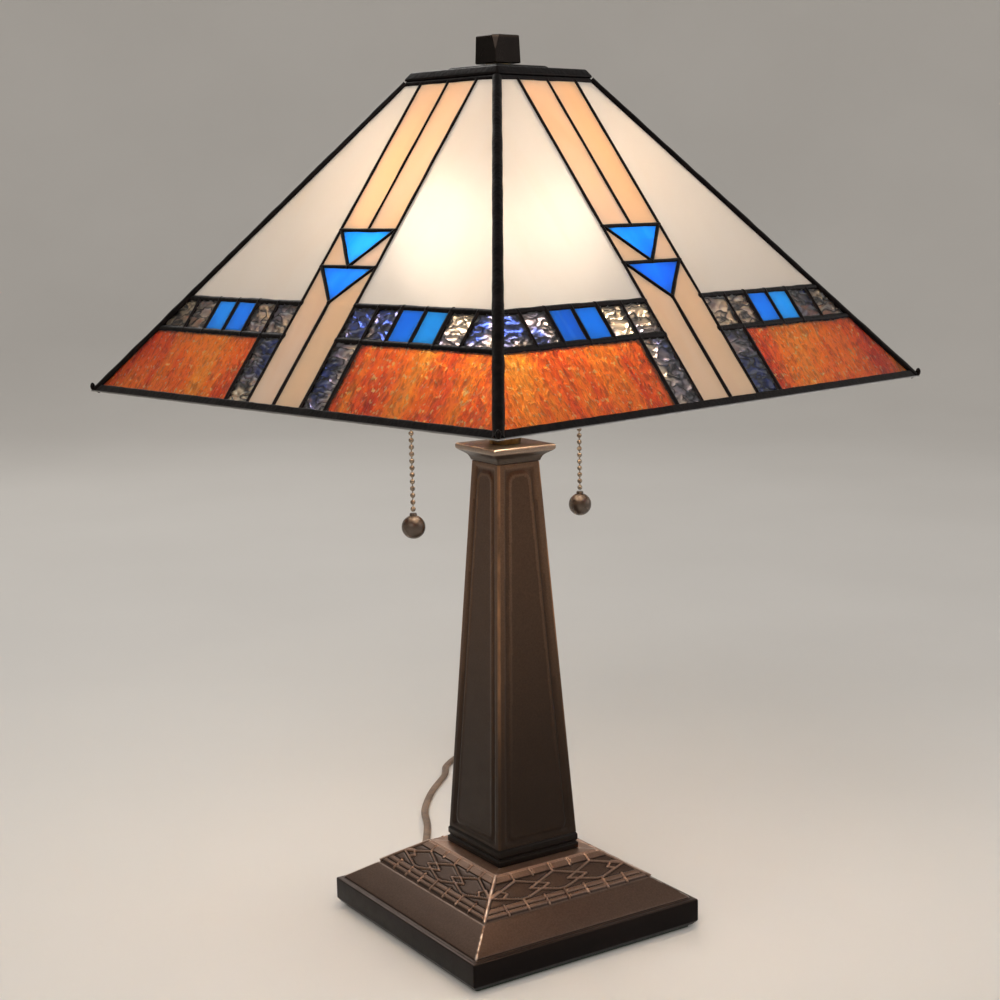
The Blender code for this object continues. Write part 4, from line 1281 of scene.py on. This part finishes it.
def make_strain_relief(finish):
    """Ribbed bushing in the base's rear wall."""
    wall = PLINTH_HALF
    profile = [(AXIS, BUSHING_TIP_Y), (0.0030, BUSHING_TIP_Y), (0.0033, BUSHING_TIP_Y - 0.0006)]
    for ring in range(5):
        y = BUSHING_TIP_Y - 0.0022 - ring * 0.0030
        reach = 0.0035 + ring * 0.00028
        waist = reach - 0.0007
        profile += [(reach, y + 0.0009), (reach + 0.0001, y - 0.0006)]
        profile += [(waist, y - 0.0010), (waist, y - 0.0018)]
    profile += [
        (0.0048, wall + 0.0042), (0.0068, wall + 0.0034), (0.0068, wall + GAP), (0.0038, wall + GAP),
        (0.0038, 0.0732), (AXIS, 0.0732),
    ]
    place = Matrix.Translation((0, 0, CORD_EXIT_Z)) @ Matrix.Rotation(-math.pi / 2, 4, "X")
    return turned_piece("cord_strain_relief", filleted(profile, 0.0004), 28, place, finish, "base",
                        "cord_jacket", "cord_bushing", sharp=50)


def make_blade(name, side, finish):
    """Flat contact blade with a rounded tip and a hole."""
    start, length = PLUG_HALF[0] + GAP, 0.0145
    half_z, thick = 0.0030, 0.0015
    shoulder, tip = (length - 0.0016, half_z), (length, half_z - 0.0014)
    upper = [(0, half_z), shoulder, tip]
    outline = [(x, -z) for x, z in upper] + upper[::-1]
    hole_x = length - 0.0040
    angles = np.linspace(0, 2 * math.pi, 12, endpoint=False)
    hole = [(hole_x + 0.0014 * math.cos(a), 0.0014 * math.sin(a)) for a in angles]
    shape = bmesh.new()
    edges = []
    for loop in (outline, hole):
        verts = [shape.verts.new((start + x, side * 0.00635 - thick / 2, z)) for x, z in loop]
        edges += [shape.edges.new((a, b)) for a, b in zip(verts, verts[1:] + verts[:1])]
    bmesh.ops.triangle_fill(shape, use_beauty=True, edges=edges)
    for face in list(shape.faces):
        middle = face.calc_center_median()
        if math.hypot(middle.x - start - hole_x, middle.z) < 0.0010:
            shape.faces.remove(face)
    grown = bmesh.ops.extrude_face_region(shape, geom=list(shape.faces))
    moved = [item for item in grown["geom"] if isinstance(item, bmesh.types.BMVert)]
    bmesh.ops.translate(shape, vec=(0, thick, 0), verts=moved)
    shape.verts.index_update()
    made = Shape()
    made.add([vert.co[:] for vert in shape.verts], [[v.index for v in face.verts] for face in shape.faces])
    shape.free()
    node = f"plug_blade_{name}"
    return made.make(f"plug_contact_{name}", finish, "base", "brass", [node], 30, plug_frame())


def make_tie(finish):
    """Strap round the coil's bundle."""
    half_wide = COIL_PITCH * 1.5 + 0.0006
    low = 0.0003
    high = CORD_REST_Z + COIL_BED + 2 * COIL_LAYER + CORD_THICK / 2 + 0.0003
    sides = [(half_wide, low), (half_wide, high), (-half_wide, high), (-half_wide, low)]
    ring = filleted([(0.0, low), *sides, (0.0, low)], 0.0024, 5)
    ring = densified(ring[:-1], 0.0012)
    count = len(ring)
    radial = np.array([math.cos(TIE_ANGLE), math.sin(TIE_ANGLE), 0])
    tangential = np.array([-radial[1], radial[0], 0])
    centre = np.array([*COIL_CENTRE, 0]) + radial * COIL_RADIUS
    middle = np.array([0, (low + high) / 2])
    points = []
    for inner in ring:
        outer = middle + (inner - middle) * (1 + 0.0004 / max(0.004, np.linalg.norm(inner - middle)))
        for (r, z), shift in ((inner, -1), (inner, 1), (outer, 1), (outer, -1)):
            place = centre + radial * r + tangential * shift * 0.0030
            points.append((place[0], place[1], max(z, 0.0001)))
    shape = Shape()
    shape.add(points, grid_faces(count, 4, wrap_rows=True, wrap_columns=True))
    return shape.make("cord_tie", finish, "base", "cord_jacket", sharp=40)


# Stage


FLOOR_RADIUS = 2.4
BACKDROP_CURVE = 1.3
BACKDROP_HEIGHT = 2.6


def make_floor():
    """Pale floor that curves up into a round backdrop."""
    finish = Finish("pale_floor")
    place = finish.place()
    mottle = finish.noise(place, 3.0, detail=3)
    finish.set(
        Base_Color=finish.ramp(mottle, (0.3, (0.66, 0.64, 0.61)), (0.7, (0.69, 0.67, 0.64))),
        Roughness=finish.ramp(mottle, (0.3, 0.60), (0.7, 0.66)),
    )
    rise = np.radians(np.linspace(0, 90, 14))
    profile = [(0.3, 0.0), (1.2, 0.0)]
    for angle in rise:
        radius = FLOOR_RADIUS + BACKDROP_CURVE * math.sin(angle)
        profile.append((radius, BACKDROP_CURVE * (1 - math.cos(angle))))
    profile.append((FLOOR_RADIUS + BACKDROP_CURVE, BACKDROP_HEIGHT))
    angle = np.linspace(0, 2 * math.pi, 64, endpoint=False)
    points = [(r * math.cos(a), r * math.sin(a), z) for r, z in profile for a in angle]
    faces = grid_faces(len(profile), 64, wrap_columns=True).tolist()
    mesh = bpy.data.meshes.new("floor")
    mesh.from_pydata(points, [], faces + [list(range(63, -1, -1))])
    mesh.shade_smooth()
    mesh.materials.append(finish.material)
    floor = bpy.data.objects.new("floor", mesh)
    bpy.context.scene.collection.objects.link(floor)


def make_light(name, place, target, size, power, colour):
    data = bpy.data.lights.new(name, "AREA")
    data.shape = "DISK"
    data.size = size
    data.energy = power
    data.color = colour
    light = bpy.data.objects.new(name, data)
    heading = Vector(target) - Vector(place)
    turn = heading.to_track_quat("-Z", "Y").to_matrix().to_4x4()
    light.matrix_world = Matrix.Translation(place) @ turn
    bpy.context.scene.collection.objects.link(light)


WORLD_COLOUR = (0.86, 0.83, 0.80, 1)
WORLD_STRENGTH = 0.55
# Soft lights: place, target, size, power, colour
LIGHTS = {
    "key": ((-1.6, -1.3, 1.9), (0, 0, 0.15), 1.4, 26, (1.0, 0.96, 0.91)),
    "fill": ((1.9, -1.2, 1.1), (0, 0, 0.15), 1.6, 9, (0.94, 0.96, 1.0)),
    "back": ((0.4, 1.9, 1.6), (0, 0, 0.2), 1.4, 10, (1.0, 0.97, 0.93)),
}


def make_stage():
    make_floor()
    world = bpy.data.worlds.new("studio")
    world.use_nodes = True
    backdrop = world.node_tree.nodes["Background"]
    backdrop.inputs["Color"].default_value = WORLD_COLOUR
    backdrop.inputs["Strength"].default_value = WORLD_STRENGTH
    bpy.context.scene.world = world
    for name, settings in LIGHTS.items():
        make_light(name, *settings)
    bpy.context.scene.view_settings.view_transform = "Standard"


def make_glass():
    return {
        "cream": opal_glass(
            "cream_opal_glass",
            [(0.30, (0.94, 0.83, 0.72)), (0.50, (0.96, 0.89, 0.82)), (0.70, (0.98, 0.93, 0.88))],
            streak=((0.96, 0.72, 0.44), 0.30), share=0.09, surface=(0.60, 0.55, 0.49), clear=0.32,
        ),
        "beige": opal_glass(
            "beige_wispy_glass",
            [(0.36, (0.93, 0.64, 0.36)), (0.50, (0.95, 0.69, 0.46)), (0.62, (0.95, 0.74, 0.60))],
            streak=((0.86, 0.46, 0.26), 0.55), share=0.20, surface=(0.60, 0.47, 0.34), scale=11,
            clear=0.15,
        ),
        "blue": opal_glass(
            "azure_opal_glass",
            [(0.38, (0.004, 0.22, 0.84)), (0.50, (0.010, 0.37, 0.96)), (0.62, (0.05, 0.54, 1.0))],
            streak=((0.16, 0.62, 1.0), 0.5), share=0.60, surface=(0.03, 0.24, 0.72), scale=12,
        ),
        "hammered": hammered_glass("hammered_tinted_glass", (0.85, 0.70, 0.50), (0.020, 0.038, 0.190)),
        "amber": amber_glass(),
    }


def make_lamp():
    # Bronzes by patina, rubbed and painted-lit metal, painted edge highlight, roughness, share of edge
    # highlight and metallic
    casting = bronze(
        "base_cast_bronze", (0.005, 0.003, 0.003), (0.36, 0.225, 0.160), (0.70, 0.60, 0.52), 0.34, 0.9, 0.85
    )
    dark = bronze(
        "column_cast_bronze", (0.012, 0.008, 0.006), (0.27, 0.155, 0.095), (0.52, 0.26, 0.12), 0.36, 0.8, 0.8
    )
    capital = bronze(
        "capital_cast_bronze", (0.020, 0.014, 0.011), (0.42, 0.32, 0.25), (0.5, 0.4, 0.3), 0.34, 0.0, 0.8
    )
    black = bronze(
        "finial_black_bronze", (0.006, 0.004, 0.003), (0.20, 0.13, 0.09), (0.26, 0.17, 0.11), 0.30, 0.0, 0.9
    )
    ball = bronze(
        "chain_ball_bronze", (0.110, 0.085, 0.068), (0.20, 0.13, 0.08), (0.30, 0.20, 0.12), 0.26
    )
    came = came_metal()
    glass = make_glass()
    make_base(casting)
    make_column(dark, capital)
    for index, name in enumerate(("front", "right", "rear", "left")):
        make_face(index, name, glass, came)
    make_hips(came)
    make_rim(came)
    make_crown(came)
    make_finial(black)
    brass = metal("socket_brass_shell", (0.55, 0.40, 0.17), 0.26, (0.25, 0.16, 0.07))
    steel = metal("bright_steel", (0.52, 0.51, 0.49), 0.28, (0.33, 0.31, 0.29), scale=200)
    chain = metal("nickel_bronze_chain", (0.42, 0.35, 0.27), 0.24, (0.12, 0.085, 0.06), scale=420)
    insulator = plastic("socket_insulator", (0.52, 0.46, 0.36), (0.62, 0.56, 0.45), 0.6)
    finishes = {
        "brass": brass,
        "steel": steel,
        "chain": chain,
        "ball": ball,
        "bulb": lamp_glass(),
        "cord": plastic("brown_cord_jacket", (0.075, 0.040, 0.020), (0.26, 0.17, 0.11), 0.34, 90),
        "plug": plastic("brown_plug_moulding", (0.050, 0.028, 0.015), (0.075, 0.042, 0.024), 0.40),
        "tie": plastic("black_tie", (0.012, 0.012, 0.013), (0.03, 0.03, 0.032), 0.55),
        "blade": brass,
    }
    for name, side in (("left", -1), ("right", 1)):
        make_socket(name, side, finishes)
        make_chain(name, side, finishes)
    carried = {
        steel: ["lamp_pipe", "pipe_washer", "shade_stem"],
        finishes["cord"]: ["supply_lead"],
        insulator: ["left_socket_core", "right_socket_core"],
        brass: ["pipe_nut", "cluster_body", "left_arm", "right_arm", "seat_nut", "left_chain_spout",
                "right_chain_spout", "shade_seat", "finial_washer"],
    }
    for finish, nodes in carried.items():
        for node in nodes:
            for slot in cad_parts[node].material_slots:
                slot.material = finish
    return finishes


make_camera()
make_stage()
FINISHES = make_lamp()
make_cord(FINISHES)
